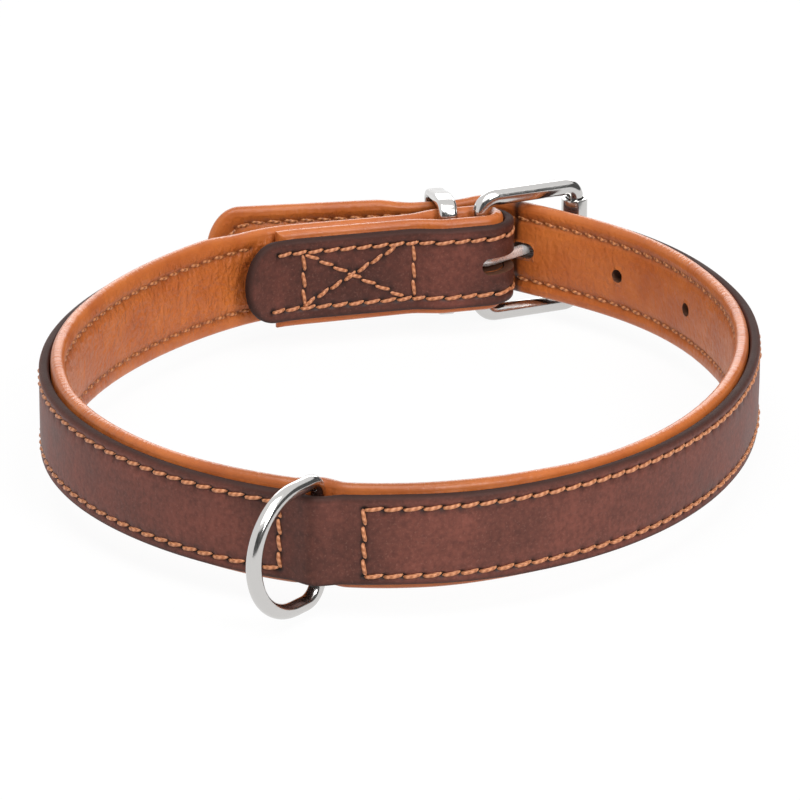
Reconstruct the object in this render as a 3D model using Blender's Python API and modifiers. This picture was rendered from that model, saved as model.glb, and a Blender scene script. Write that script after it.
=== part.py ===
"""Two-ply leather buckle collar.

A dark outer strap is sewn on a wider padded lining with turned edges. The strap
folds round the buckle's heel bar, is box stitched to itself, runs round the neck
past a D-ring that is caught between the two plies, and comes back through the
buckle as a punched tail that a steel keeper holds down.

The collar stands on edge: +Z is across the strap, the closure lies along X at the
back (+Y) and the D-ring is at the front.
"""
import math

import bmesh
import bpy
from mathutils import Matrix, Vector

MM = 0.001

# Strap plies
LINING_WIDTH = 20.0 * MM
LINING_THICK = 2.7 * MM
LINING_SKIN = 0.8 * MM
OUTER_WIDTH = 17.5 * MM
OUTER_THICK = 2.0 * MM
OUTER_EDGE_ROUND = 0.5 * MM
PADDING_WIDTH = 10.6 * MM

# Shape of the worn loop in plan, seen from above
HEEL_X = 34.8 * MM
HEEL_Y = 69.6 * MM
LEFT_X = -70.9 * MM
LEFT_Y = -7.3 * MM
FRONT_X = -13.2 * MM
FRONT_Y = -75.5 * MM
RIGHT_X = 70.5 * MM
RIGHT_Y = 13.0 * MM
LEFT_FULLNESS = (0.20, 0.62)
FRONT_LEFT_FULLNESS = (0.515, 0.50)
FRONT_RIGHT_FULLNESS = (0.68, 0.37)
RIGHT_FULLNESS = (0.45, 0.32)
PLAN_CENTRE_X = -0.2 * MM
PLAN_CENTRE_Y = 3.8 * MM

# Folded end, box stitch and tail
TAB_LENGTH = 55.8 * MM
TAB_ROUND = 7.6 * MM
RETURN_LINING_LENGTH = 46.9 * MM
CLOSURE_STRAIGHT = 42.0 * MM
GAP_SHUT_AT = 16.5 * MM
GAP_OPEN_AT = 8.0 * MM
BOX_START = 15.7 * MM
BOX_LENGTH = 23.7 * MM
TAIL_RISE = math.radians(51.0)
TAIL_SPLAY = math.radians(6.0)
TAIL_STRAIGHT = 8.0 * MM
TAIL_PAST_PRONG = 70.6 * MM
TAIL_ROUND = 7.0 * MM
HOLE_SPACING = 25.0 * MM
HOLE_DIAMETER = 2.8 * MM
HOLES_LOOSER = 2
HOLES_TIGHTER = 2

# Seams
SEAM_INSET = 2.15 * MM
THREAD = 0.6 * MM
SEAM_CORNER = 1.2 * MM
CHANNEL_WIDTH = 1.2 * MM
CHANNEL_DEPTH = 0.35 * MM

# Buckle
BUCKLE_INSIDE = 22.0 * MM
BUCKLE_WIRE = 3.4 * MM
BUCKLE_REACH = 21.6 * MM
HEEL_CORNER = 3.6 * MM
ROLLER_CORNER = 2.3 * MM
BUCKLE_DROP = 0.7 * MM
FRAME_TURN = math.radians(9.0)
FRAME_ROCK = math.radians(3.0)
ROLLER_WALL = 0.7 * MM
PRONG_WIRE = 2.2 * MM
PRONG_WRAP = math.radians(275.0)
PRONG_PAST_ROLLER = 3.2 * MM
PRONG_TIP_TAPER = 0.55
PRONG_ROCK = math.radians(4.0)
SLOT_HEIGHT = 3.6 * MM
SLOT_PAST_BAR = 1.5 * MM

# Keeper loop
KEEPER_WIDTH = 3.9 * MM
KEEPER_THICK = 2.4 * MM
KEEPER_EDGE_ROUND = 0.9 * MM
KEEPER_FROM_BAR = 7.0 * MM
KEEPER_TURN = math.radians(-5.0)
KEEPER_CORNER = 2.4 * MM

# D-ring
DRING_WIRE = 2.9 * MM
DRING_INSIDE = 20.4 * MM
DRING_REACH = 18.5 * MM
DRING_CORNER = 2.6 * MM
POCKET_FROM_FRONT = -22.6 * MM
DRING_OFF_MIDDLE = -1.0 * MM
DRING_SWING = math.radians(-23.2)
DRING_DROP = 0.4 * MM
DRING_POCKET = 15.5 * MM

# Clearances
PLY_GAP = 0.3 * MM
WIRE_PLAY = 0.3 * MM
THREAD_LIFT = 0.12 * MM
KEEPER_PLAY = 1.1 * MM
PRONG_PLAY = 0.4 * MM
ROLLER_PLAY = 0.3 * MM
CUT_MARGIN = 2.0 * MM

# How finely round things are drawn
STATION_TURN = math.radians(7.5)
STATION_STEP = 9.0 * MM
CORNER_STEPS = 5
EDGE_STEPS = 5

# Worked out from the sizes above
BAR_R = BUCKLE_WIRE / 2
FOLD_INSIDE = BAR_R + WIRE_PLAY
FOLD_LINE = FOLD_INSIDE + LINING_THICK + PLY_GAP / 2
FOLD_OUTSIDE = FOLD_LINE + PLY_GAP / 2 + OUTER_THICK
BOX_LINE = PLY_GAP / 2 + LINING_THICK + PLY_GAP / 2
TAIL_CLEAR = 2 * (THREAD + 2 * THREAD_LIFT)
TAIL_INSIDE = FOLD_OUTSIDE + TAIL_CLEAR
TAIL_LINE = TAIL_INSIDE + LINING_THICK + PLY_GAP / 2
PROUD = (LINING_WIDTH - OUTER_WIDTH) / 2
OUTER_OFFSET = (PLY_GAP + OUTER_THICK) / 2
LINING_OFFSET = -(PLY_GAP + LINING_THICK) / 2
PADDING_THICK = LINING_THICK - LINING_SKIN - PLY_GAP
PADDING_OFFSET = -(PLY_GAP + PADDING_THICK) / 2
SEAM_Z = OUTER_WIDTH / 2 - SEAM_INSET
CHANNEL_SLOPE = math.atan2(2 * CHANNEL_DEPTH, CHANNEL_WIDTH)
OUTER_FACE = PLY_GAP / 2 + OUTER_THICK
INNER_FACE = -(PLY_GAP / 2 + LINING_THICK)
SIDE_BAR_Z = BUCKLE_INSIDE / 2 + BAR_R
MID_HEIGHT = SIDE_BAR_Z + BAR_R + BUCKLE_DROP
ROLLER_INSIDE = BAR_R + ROLLER_PLAY
ROLLER_R = ROLLER_INSIDE + ROLLER_WALL
PRONG_R = PRONG_WIRE / 2
PRONG_LOOP = BAR_R + WIRE_PLAY + PRONG_R
PRONG_OVER_ROLLER = ROLLER_R + WIRE_PLAY + PRONG_R
PRONG_LEAN = math.asin((PRONG_LOOP + PRONG_OVER_ROLLER) / BUCKLE_REACH)
DRING_BUMP = (DRING_WIRE + 2 * WIRE_PLAY - PLY_GAP) / 2
HEEL = Vector((HEEL_X - PLAN_CENTRE_X, HEEL_Y - PLAN_CENTRE_Y))


def plan(x, y):
    """A point of the loop's plan, measured from the part's own origin."""
    return Vector((x - PLAN_CENTRE_X, y - PLAN_CENTRE_Y))


def polar(angle):
    return Vector((math.cos(angle), math.sin(angle)))


def ease(t):
    """Smooth step from 0 to 1."""
    t = min(max(t, 0.0), 1.0)
    return 0.5 - 0.5 * math.cos(math.pi * t)


def bezier(p0, p1, p2, p3, count):
    points = []
    for i in range(1, count + 1):
        t = i / count
        u = 1.0 - t
        points.append(u**3 * p0 + 3 * u * u * t * p1 + 3 * u * t * t * p2 + t**3 * p3)
    return points


def quarter(start, end, leave, arrive, fullness, count=60):
    """A quarter of the loop; fullness is each handle's share of its run."""
    run = end - start
    out_handle = leave * abs(run.dot(leave)) * fullness[0]
    in_handle = arrive * abs(run.dot(arrive)) * fullness[1]
    return bezier(start, start + out_handle, end - in_handle, end, count)


class Route:
    """The plies' common line, read by the length along it."""

    def __init__(self, points):
        self.points = points
        self.lengths = [0.0]
        for a, b in zip(points, points[1:]):
            self.lengths.append(self.lengths[-1] + (b - a).length)

    def segment(self, s):
        low, high = 0, len(self.points) - 2
        while low < high:
            middle = (low + high + 1) // 2
            if self.lengths[middle] <= s:
                low = middle
            else:
                high = middle - 1
        return low

    def tangent(self, s):
        i = self.segment(s)
        before = self.points[max(i - 1, 0)]
        after = self.points[min(i + 2, len(self.points) - 1)]
        return (after - before).normalized()

    def outward(self, s):
        t = self.tangent(s)
        return Vector((t.y, -t.x))

    def at(self, s, offset=0.0):
        i = self.segment(s)
        a, b = self.points[i], self.points[i + 1]
        share = (s - self.lengths[i]) / (self.lengths[i + 1] - self.lengths[i])
        return a.lerp(b, share) + self.outward(s) * offset

    def nearest(self, test):
        """Length along the line where test, a function of a point, is least."""
        best = min(range(len(self.points)), key=lambda i: test(self.points[i]))
        return self.lengths[best]


def closure_offset(distance):
    """Half the spread of the two plies at a distance left of the heel bar."""
    shut = ease((distance - GAP_OPEN_AT) / (GAP_SHUT_AT - GAP_OPEN_AT))
    return FOLD_LINE + (BOX_LINE - FOLD_LINE) * shut


def strap_route():
    """The line between the two plies, from the tab's end to the tail's tip."""
    west, south, east, north = (Vector(v) for v in ((-1, 0), (0, -1), (1, 0), (0, 1)))
    left = plan(LEFT_X, LEFT_Y)
    straight_end = HEEL + Vector((-CLOSURE_STRAIGHT, BOX_LINE))
    left_bend = [straight_end] + quarter(straight_end, left, west, south, LEFT_FULLNESS)

    step = 0.5 * MM
    under = Route(left_bend)
    count = round((TAB_LENGTH - CLOSURE_STRAIGHT) / step)
    past = [(TAB_LENGTH - CLOSURE_STRAIGHT) * (1 - i / count) for i in range(count)]
    points = [under.at(d, -2 * BOX_LINE) for d in past]

    count = round(CLOSURE_STRAIGHT / step)
    distances = [CLOSURE_STRAIGHT * i / count for i in range(count + 1)]
    points += [HEEL + Vector((-d, -closure_offset(d))) for d in reversed(distances)]
    turns = 36
    points += [HEEL + FOLD_LINE * polar(math.pi * (i / turns - 0.5)) for i in range(1, turns)]
    points += [HEEL + Vector((-d, closure_offset(d))) for d in distances]
    points += left_bend[1:]

    front = plan(FRONT_X, FRONT_Y)
    right = plan(RIGHT_X, RIGHT_Y)
    away = -polar(-TAIL_RISE)
    touch = HEEL + TAIL_LINE * polar(math.pi / 2 - TAIL_RISE)
    arrive = touch - away * TAIL_STRAIGHT
    points += quarter(left, front, south, east, FRONT_LEFT_FULLNESS)
    points += quarter(front, right, east, north, FRONT_RIGHT_FULLNESS)
    reach = (arrive - right).length
    points += bezier(right, right + north * reach * RIGHT_FULLNESS[0],
                     arrive - away * reach * RIGHT_FULLNESS[1], arrive, 60)

    count = round(TAIL_STRAIGHT / step)
    points += [arrive + away * TAIL_STRAIGHT * i / count for i in range(1, count + 1)]
    sweep = TAIL_RISE - TAIL_SPLAY
    start = math.pi / 2 - TAIL_RISE
    points += [HEEL + TAIL_LINE * polar(start + sweep * i / turns) for i in range(1, turns + 1)]
    splay = -polar(-TAIL_SPLAY)
    count = round(TAIL_PAST_PRONG / step)
    points += [points[-1] + splay * step * i for i in range(1, count + 1)]
    return points


def prong_line(along):
    """A point of the prong's straight shank, measured from beside the heel bar."""
    lean = FRAME_TURN + PRONG_LEAN
    return HEEL + PRONG_LOOP * polar(lean - math.pi / 2) + along * polar(lean)


ROUTE = Route(strap_route())


def find_prong_hole():
    """Length along the strap, and along the prong, where the two cross."""
    tail_start = ROUTE.nearest(lambda p: (p - plan(RIGHT_X, RIGHT_Y)).length)
    lean = FRAME_TURN + PRONG_LEAN
    side = polar(lean + math.pi / 2)
    best = None
    for s, point in zip(ROUTE.lengths, ROUTE.points):
        miss = abs((point - prong_line(0.0)).dot(side))
        if s > tail_start and (best is None or miss < best[0]):
            best = (miss, s, (point - prong_line(0.0)).dot(polar(lean)))
    return best[1], best[2]


PRONG_HOLE, PRONG_CROSSING = find_prong_hole()
TAIL_TIP = PRONG_HOLE + TAIL_PAST_PRONG
POCKET_AT = ROUTE.nearest(lambda p: (p - plan(FRONT_X, FRONT_Y)).length) + POCKET_FROM_FRONT
DRING_AT = POCKET_AT + DRING_OFF_MIDDLE
TAB_END = 0.0
RETURN_LINING_END = TAB_LENGTH - RETURN_LINING_LENGTH


def dring_bump(s):
    """How far each ply gives way round the D-ring's bar."""
    reach = abs(s - DRING_AT) / (DRING_POCKET / 2)
    return DRING_BUMP * (1.0 - ease(reach))


def stations(start, end):
    """Lengths at which a ply gets a section: close together where it bends."""
    found = [TAB_END]
    heading = ROUTE.tangent(TAB_END)
    for s in ROUTE.lengths:
        turn = abs(heading.angle_signed(ROUTE.tangent(s)))
        near_dring = abs(s - DRING_AT) <= DRING_POCKET * 0.6
        step = DRING_POCKET / 10 if near_dring else STATION_STEP
        if s - found[-1] >= step or turn >= STATION_TURN:
            found.append(s)
            heading = ROUTE.tangent(s)
    least = 0.5 * MM
    inner = [s for s in found if start + least < s < end - least]
    return [start] + inner + [end]


def ply_point(s, offset, z, bump_share=0.0):
    """A point on or in the strap: along it, out from its middle line, and up."""
    p = ROUTE.at(s, offset + bump_share * dring_bump(s))
    return Vector((p.x, p.y, MID_HEIGHT + z))


# Scene and materials


def clear_scene():
    for old in list(bpy.data.objects):
        bpy.data.objects.remove(old, do_unlink=True)


def new_collection(name):
    collection = bpy.data.collections.new(name)
    bpy.context.scene.collection.children.link(collection)
    return collection


clear_scene()
PARTS = new_collection("leather_collar")
CUTTERS = new_collection("cutters")


def make_material(name, colour, roughness, metallic=0.0):
    material = bpy.data.materials.new(name)
    material.use_nodes = True
    shader = material.node_tree.nodes["Principled BSDF"]
    shader.inputs["Base Color"].default_value = (*colour, 1.0)
    shader.inputs["Roughness"].default_value = roughness
    shader.inputs["Metallic"].default_value = metallic
    return material


OILED_LEATHER = make_material("oiled_leather", (0.105, 0.042, 0.032), 0.55)
NAPPA_LEATHER = make_material("nappa_leather", (0.46, 0.155, 0.045), 0.5)
FOAM = make_material("foam", (0.75, 0.7, 0.6), 0.9)
STEEL = make_material("polished_steel", (0.62, 0.62, 0.62), 0.2, 1.0)
WAXED_THREAD = make_material("waxed_thread", (0.62, 0.25, 0.09), 0.6)


# Shapes


def polyline(name, points, cyclic=False, radii=None):
    data = bpy.data.curves.new(name, "CURVE")
    data.dimensions = "3D"
    spline = data.splines.new("POLY")
    spline.points.add(len(points) - 1)
    for i, point in enumerate(points):
        spline.points[i].co = (*point, 1.0)
        spline.points[i].radius = radii[i] if radii else 1.0
    spline.use_cyclic_u = cyclic
    curve = bpy.data.objects.new(name, data)
    bpy.context.scene.collection.objects.link(curve)
    return curve


def as_mesh(curve, name, extra=None):
    """Turn a curve into a closed mesh with its caps welded on."""
    bpy.context.view_layer.update()
    depsgraph = bpy.context.evaluated_depsgraph_get()
    mesh = bpy.data.meshes.new_from_object(curve.evaluated_get(depsgraph))
    place = curve.matrix_world.copy()
    for old in (curve, extra):
        if old is not None:
            bpy.data.objects.remove(old, do_unlink=True)
    mesh.name = name
    bm = bmesh.new()
    bm.from_mesh(mesh)
    bmesh.ops.remove_doubles(bm, verts=bm.verts, dist=1e-6)
    bmesh.ops.recalc_face_normals(bm, faces=bm.faces)
    bm.to_mesh(mesh)
    bm.free()
    solid = bpy.data.objects.new(name, mesh)
    solid.matrix_world = place
    return solid


def add_part(solid, material, sharp=math.radians(35.0)):
    solid.data.materials.clear()
    solid.data.materials.append(material)
    solid.data.shade_smooth()
    solid.data.set_sharp_from_angle(angle=sharp)
    PARTS.objects.link(solid)
    return solid


def add_cutter(solid):
    solid.hide_render = True
    solid.display_type = "WIRE"
    CUTTERS.objects.link(solid)
    return solid


def cut(part, *cutters):
    for cutter in cutters:
        modifier = part.modifiers.new(cutter.name, "BOOLEAN")
        modifier.operation = "DIFFERENCE"
        modifier.solver = "EXACT"
        modifier.object = cutter


def sweep(name, plan_points, section, level=MID_HEIGHT, cyclic=False):
    """Carry an upright section along a level line."""
    profile = polyline(name + "_section", [(x, y, 0.0) for x, y in section], cyclic=True)
    path = polyline(name, [(p.x, p.y, level) for p in plan_points], cyclic)
    path.data.twist_mode = "Z_UP"
    path.data.bevel_mode = "OBJECT"
    path.data.bevel_object = profile
    path.data.use_fill_caps = not cyclic
    return as_mesh(path, name, profile)


def wire(name, points, radius, cyclic=False, radii=None, resolution=2):
    """Round wire along a line."""
    path = polyline(name, points, cyclic, radii)
    path.data.bevel_depth = radius
    path.data.bevel_resolution = resolution
    path.data.use_fill_caps = not cyclic
    return as_mesh(path, name)


def plate(name, outline, thickness):
    """Flat outline in XY, extruded half its thickness each way along Z."""
    shape = polyline(name, [(x, y, 0.0) for x, y in outline], cyclic=True)
    shape.data.dimensions = "2D"
    shape.data.fill_mode = "BOTH"
    shape.data.extrude = thickness / 2
    return as_mesh(shape, name)


def rounded_loop(corners, radii, steps=CORNER_STEPS):
    """Closed line through the corners, each drawn as an arc of its radius."""
    points = []
    count = len(corners)
    for i, corner in enumerate(corners):
        before = (corners[i - 1] - corner).normalized()
        after = (corners[(i + 1) % count] - corner).normalized()
        half = before.angle(after) / 2
        reach = radii[i] / math.tan(half)
        centre = corner + (before + after).normalized() * radii[i] / math.sin(half)
        start = corner + before * reach - centre
        end = corner + after * reach - centre
        turn = start.angle(end)
        for k in range(steps + 1):
            share = k / steps
            arm = (start * math.sin((1 - share) * turn) + end * math.sin(share * turn)) / math.sin(turn)
            points.append(centre + arm)
    return points


def slab_section(width, thickness, rounding, steps):
    """Upright strip section, thickness along X, with its corners rounded."""
    points = []
    for corner in range(4):
        cx = (thickness / 2 - rounding) * (1 if corner in (0, 3) else -1)
        cy = (width / 2 - rounding) * (1 if corner in (0, 1) else -1)
        for k in range(steps + 1):
            angle = math.pi / 2 * (corner + k / steps)
            points.append((cx + rounding * math.cos(angle), cy + rounding * math.sin(angle)))
    return points


def outer_section():
    """Outer strap's section: eased edges, and a channel for each row of stitches."""
    points = slab_section(OUTER_WIDTH, OUTER_THICK, OUTER_EDGE_ROUND, 2)
    face = OUTER_THICK / 2
    half = CHANNEL_WIDTH / 2
    for z in (-SEAM_Z, SEAM_Z):
        points += [(face, z - half), (face - CHANNEL_DEPTH, z), (face, z + half)]
    return points


def ply_path(start, end, offset, bump_share):
    return [ROUTE.at(s, offset + bump_share * dring_bump(s)) for s in stations(start, end)]


# Cutters


def upright_frame(s, z=0.0):
    """Local x along the strap, y up, z out of the strap's face."""
    t = ROUTE.tangent(s)
    n = ROUTE.outward(s)
    p = ply_point(s, 0.0, z)
    return Matrix(((t.x, 0.0, n.x, p.x), (t.y, 0.0, n.y, p.y), (0.0, 1.0, 0.0, p.z), (0.0, 0.0, 0.0, 1.0)))


def end_cutter(name, s, toward, half_width, depth, offset, thickness):
    """Takes the corners off one ply's end, leaving it round."""
    spare = CUT_MARGIN
    grip = half_width + 0.02 * MM
    outline = [(-depth, -half_width - spare), (spare, -half_width - spare),
               (spare, half_width + spare), (-depth, half_width + spare)]
    steps = 16
    for k in range(steps + 1):
        angle = math.pi * (0.5 - k / steps)
        outline.append((-depth + depth * math.cos(angle), grip * math.sin(angle)))
    cutter = plate(name, outline, thickness + 2 * PLY_GAP)
    flip = Matrix.Diagonal((toward, 1.0, toward, 1.0))
    cutter.matrix_world = upright_frame(s) @ Matrix.Translation((0.0, 0.0, offset)) @ flip
    return add_cutter(cutter)


def hole_cutter(name, s):
    """Punched round hole, square to the strap."""
    bm = bmesh.new()
    length = LINING_THICK + OUTER_THICK + PLY_GAP + 1.0 * MM
    bmesh.ops.create_cone(bm, cap_ends=True, segments=14, radius1=HOLE_DIAMETER / 2,
                          radius2=HOLE_DIAMETER / 2, depth=length)
    mesh = bpy.data.meshes.new(name)
    bm.to_mesh(mesh)
    bm.free()
    cutter = bpy.data.objects.new(name, mesh)
    middle = Matrix.Translation((0.0, 0.0, (OUTER_THICK - LINING_THICK) / 2))
    cutter.matrix_world = upright_frame(s) @ middle
    return add_cutter(cutter)


def prong_hole_cutter(name):
    """The hole in use, drawn into a slot by the rocking prong."""
    half = PRONG_R + PRONG_PLAY
    reach = PRONG_CROSSING + (LINING_THICK + OUTER_THICK)
    inward = reach * math.sin(FRAME_ROCK)
    outward = reach * math.sin(FRAME_ROCK + PRONG_ROCK)
    steps = 8
    outline = []
    for middle, start in ((outward, 0.0), (-inward, math.pi)):
        for k in range(steps + 1):
            angle = start + math.pi * k / steps
            outline.append((half * math.cos(angle), middle + half * math.sin(angle)))
    cutter = plate(name, outline, 2.4 * (LINING_THICK + OUTER_THICK))
    lean = FRAME_TURN + PRONG_LEAN
    along, side = polar(lean), polar(lean + math.pi / 2)
    p = prong_line(PRONG_CROSSING)
    cutter.matrix_world = Matrix(((0.0, side.x, along.x, p.x), (0.0, side.y, along.y, p.y),
                                  (1.0, 0.0, 0.0, MID_HEIGHT), (0.0, 0.0, 0.0, 1.0)))
    return add_cutter(cutter)


def fold_cutter(name, past_bar, height):
    """Slot through the fold: a half disc at the bar, carried back past it."""
    radius = FOLD_OUTSIDE + TAIL_CLEAR / 4
    steps = 20
    outline = [tuple(radius * polar(math.pi * (k / steps - 0.5))) for k in range(steps + 1)]
    outline += [(-past_bar, radius), (-past_bar, -radius)]
    cutter = plate(name, outline, height)
    cutter.location = (HEEL.x, HEEL.y, MID_HEIGHT)
    return add_cutter(cutter)


def all_cutters():
    holes = [hole_cutter(f"hole_cutter_{k + HOLES_LOOSER}", PRONG_HOLE + k * HOLE_SPACING)
             for k in range(-HOLES_LOOSER, HOLES_TIGHTER + 1) if k != 0]
    holes.append(prong_hole_cutter("prong_hole_cutter"))
    slot = fold_cutter("slot_cutter", SLOT_PAST_BAR, SLOT_HEIGHT)
    seat = fold_cutter("prong_seat_cutter", PRONG_LOOP + PRONG_R + PRONG_PLAY, SLOT_HEIGHT)
    return holes, slot, seat


# Leather and padding


def outer_strap(holes, slot):
    tip = TAIL_TIP - PROUD
    strap = sweep("outer_strap", ply_path(TAB_END, tip, OUTER_OFFSET, 1.0), outer_section())
    cut(strap, slot, *holes)
    half = OUTER_WIDTH / 2
    cut(strap, end_cutter("tab_end_cutter", TAB_END, -1.0, half, TAB_ROUND, OUTER_OFFSET, OUTER_THICK),
        end_cutter("tail_end_cutter", tip, 1.0, half, TAIL_ROUND - PROUD / 2, OUTER_OFFSET, OUTER_THICK))
    return add_part(strap, OILED_LEATHER)


def padding_room():
    """Where the padding lies: clear of both ends of the lining."""
    return RETURN_LINING_END + 6.0 * MM, TAIL_TIP - TAIL_ROUND - 4.0 * MM


def lining(holes, seat):
    section = slab_section(LINING_WIDTH, LINING_THICK, LINING_THICK / 2 * 0.98, EDGE_STEPS - 2)
    path = ply_path(RETURN_LINING_END, TAIL_TIP, LINING_OFFSET, -1.0)
    skin = sweep("lining", path, section)
    start, end = padding_room()
    depth = PADDING_THICK + 2 * PLY_GAP
    offset = INNER_FACE + LINING_SKIN + depth / 2
    half = PADDING_WIDTH / 2 + PLY_GAP
    room = [(-depth / 2, -half), (depth / 2, -half), (depth / 2, half), (-depth / 2, half)]
    pocket = sweep("padding_pocket", ply_path(start - PLY_GAP, end + PLY_GAP, offset, -1.0), room)
    cut(skin, add_cutter(pocket), seat, *holes)
    half = LINING_WIDTH / 2
    cut(skin, end_cutter("lining_end_cutter", TAIL_TIP, 1.0, half, TAIL_ROUND, LINING_OFFSET, LINING_THICK))
    return add_part(skin, NAPPA_LEATHER)


def padding(holes, seat):
    section = slab_section(PADDING_WIDTH, PADDING_THICK - PLY_GAP, 0.4 * MM, 1)
    start, end = padding_room()
    offset = INNER_FACE + LINING_SKIN + PLY_GAP + (PADDING_THICK - PLY_GAP) / 2
    strip = sweep("padding", ply_path(start, end, offset, -1.0), section)
    cut(strip, seat, *holes)
    return add_part(strip, FOAM)


# Seam threads


def seam_row(start, end, face, z):
    return [ply_point(s, face, z) for s in stations(start, end)]


def seam_turn(s, toward, face):
    """The seam's short side, across the strap, with rounded corners."""
    points = []
    for z_sign in (1.0, -1.0):
        arc = []
        for k in range(1, 4):
            angle = math.pi / 2 * k / 4
            along = s - toward * SEAM_CORNER * (1 - math.sin(angle))
            up = z_sign * (SEAM_Z - SEAM_CORNER * (1 - math.cos(angle)))
            arc.append(ply_point(along, face, up))
        points += arc if z_sign > 0 else arc[::-1]
    return points


def tail_turn(face, tip):
    """The seam's round end at the tail's tip."""
    points = []
    depth = TAIL_ROUND - PROUD
    for k in range(1, 12):
        angle = math.pi / 2 * (1 - k / 6)
        along = tip - depth * (1 - math.cos(angle))
        points.append(ply_point(along, face, SEAM_Z * math.sin(angle)))
    return points


def seam_left(name, row_face, face, start):
    """Open seam from the closure to the D-ring's pocket and back."""
    end = POCKET_AT - DRING_POCKET / 2
    row_end = end - SEAM_CORNER
    top = seam_row(start, row_end, row_face, SEAM_Z)
    bottom = seam_row(start, row_end, row_face, -SEAM_Z)
    points = top + seam_turn(end, 1.0, face) + bottom[::-1]
    return add_part(wire(name, points, THREAD / 2, resolution=0), WAXED_THREAD)


def seam_right(name, row_face, face):
    """Closed seam from the D-ring's pocket round the tail's tip."""
    start = POCKET_AT + DRING_POCKET / 2
    row_start = start + SEAM_CORNER
    tip = TAIL_TIP - PROUD - SEAM_INSET
    row_end = tip - (TAIL_ROUND - PROUD)
    top = seam_row(row_start, row_end, row_face, SEAM_Z)
    bottom = seam_row(row_start, row_end, row_face, -SEAM_Z)
    points = top + tail_turn(face, tip) + bottom[::-1] + seam_turn(start, -1.0, face)[::-1]
    return add_part(wire(name, points, THREAD / 2, cyclic=True, resolution=0), WAXED_THREAD)


def box_stitch(name, side, face):
    """Box and cross that sew the folded end down, on one face of the closure."""
    half = BOX_LENGTH / 2
    rows_clear = SEAM_Z - THREAD - 2 * THREAD_LIFT
    corners = [(-half, -rows_clear), (-half, rows_clear), (half, -rows_clear), (half, rows_clear)]
    points = []
    for (x0, z0), (x1, z1) in zip(corners, corners[1:]):
        points += [(x0 + (x1 - x0) * k / 4, 0.0, z0 + (z1 - z0) * k / 4) for k in range(4)]
    points.append((half, 0.0, rows_clear))
    over = THREAD + 2 * THREAD_LIFT
    short = rows_clear / SEAM_Z
    steps = 12
    for k in range(1, steps):
        share = short * (1 - 2 * k / steps)
        points.append((half * share, over * (1 - ease(abs(share) * 2)), rows_clear * share))
    line = []
    for x, hump, z in points:
        from_bar = BOX_START + half - x
        y = side * (closure_offset(from_bar) + face + hump)
        line.append((HEEL.x - from_bar, HEEL.y + y, MID_HEIGHT + z))
    return add_part(wire(name, line, THREAD / 2, resolution=0), WAXED_THREAD)


def seam_threads():
    lift = THREAD / 2 + THREAD_LIFT
    outside = OUTER_FACE + lift
    inside = INNER_FACE - lift
    in_channel = OUTER_FACE - CHANNEL_DEPTH + lift / math.cos(CHANNEL_SLOPE)
    box_end = HEEL - Vector((BOX_START + BOX_LENGTH, BOX_LINE))
    tab_start = ROUTE.nearest(lambda p: (p - box_end).length) - 6.0 * MM
    main_start = ROUTE.nearest(lambda p: (p - HEEL - Vector((-CLOSURE_STRAIGHT, BOX_LINE))).length)
    past_tab = main_start + TAB_LENGTH - CLOSURE_STRAIGHT + 2.0 * MM
    seam_left("left_seam_thread", in_channel, outside, tab_start)
    seam_left("left_seam_bobbin_thread", inside, inside, past_tab)
    seam_right("right_seam_thread", in_channel, outside)
    seam_right("right_seam_bobbin_thread", inside, inside)
    box_stitch("box_stitch_thread", -1.0, outside)
    box_stitch("box_stitch_bobbin_thread", 1.0, outside)


# Metal fittings


def joint_empty(name, place, turn=0.0, parent=None):
    """Stands on a moving piece's axis, and carries it."""
    axis = bpy.data.objects.new(name, None)
    axis.empty_display_size = 5 * MM
    bpy.context.scene.collection.objects.link(axis)
    axis.parent = parent
    axis.location = place
    axis.rotation_euler = (0.0, 0.0, turn)
    return axis


def hang(solid, axis):
    """Put a piece that is drawn round its own axis on that axis."""
    solid.parent = axis
    return solid


def dring():
    """Bent wire D whose straight side is the hinge bar between the plies."""
    half = (DRING_INSIDE + DRING_WIRE) / 2
    arm = DRING_REACH - half
    bar = [Vector((0.0, 0.0, z)) for z in (half, -half)]
    steps = 14
    bow = [Vector((arm + half * math.sin(math.pi * k / steps), 0.0, -half * math.cos(math.pi * k / steps)))
           for k in range(steps + 1)]
    corners = rounded_loop([bow[-1]] + bar + [bow[0]], [0.01 * MM] + [DRING_CORNER] * 2 + [0.01 * MM])
    turn_points = corners[CORNER_STEPS + 1:3 * (CORNER_STEPS + 1)]
    p = ROUTE.at(DRING_AT)
    n = ROUTE.outward(DRING_AT)
    place = (p.x, p.y, MID_HEIGHT - DRING_DROP)
    axis = joint_empty("dring_axis", place, math.atan2(n.y, n.x) + DRING_SWING)
    ring = wire("d_ring", turn_points + bow, DRING_WIRE / 2, cyclic=True)
    return add_part(hang(ring, axis), STEEL)


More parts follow.
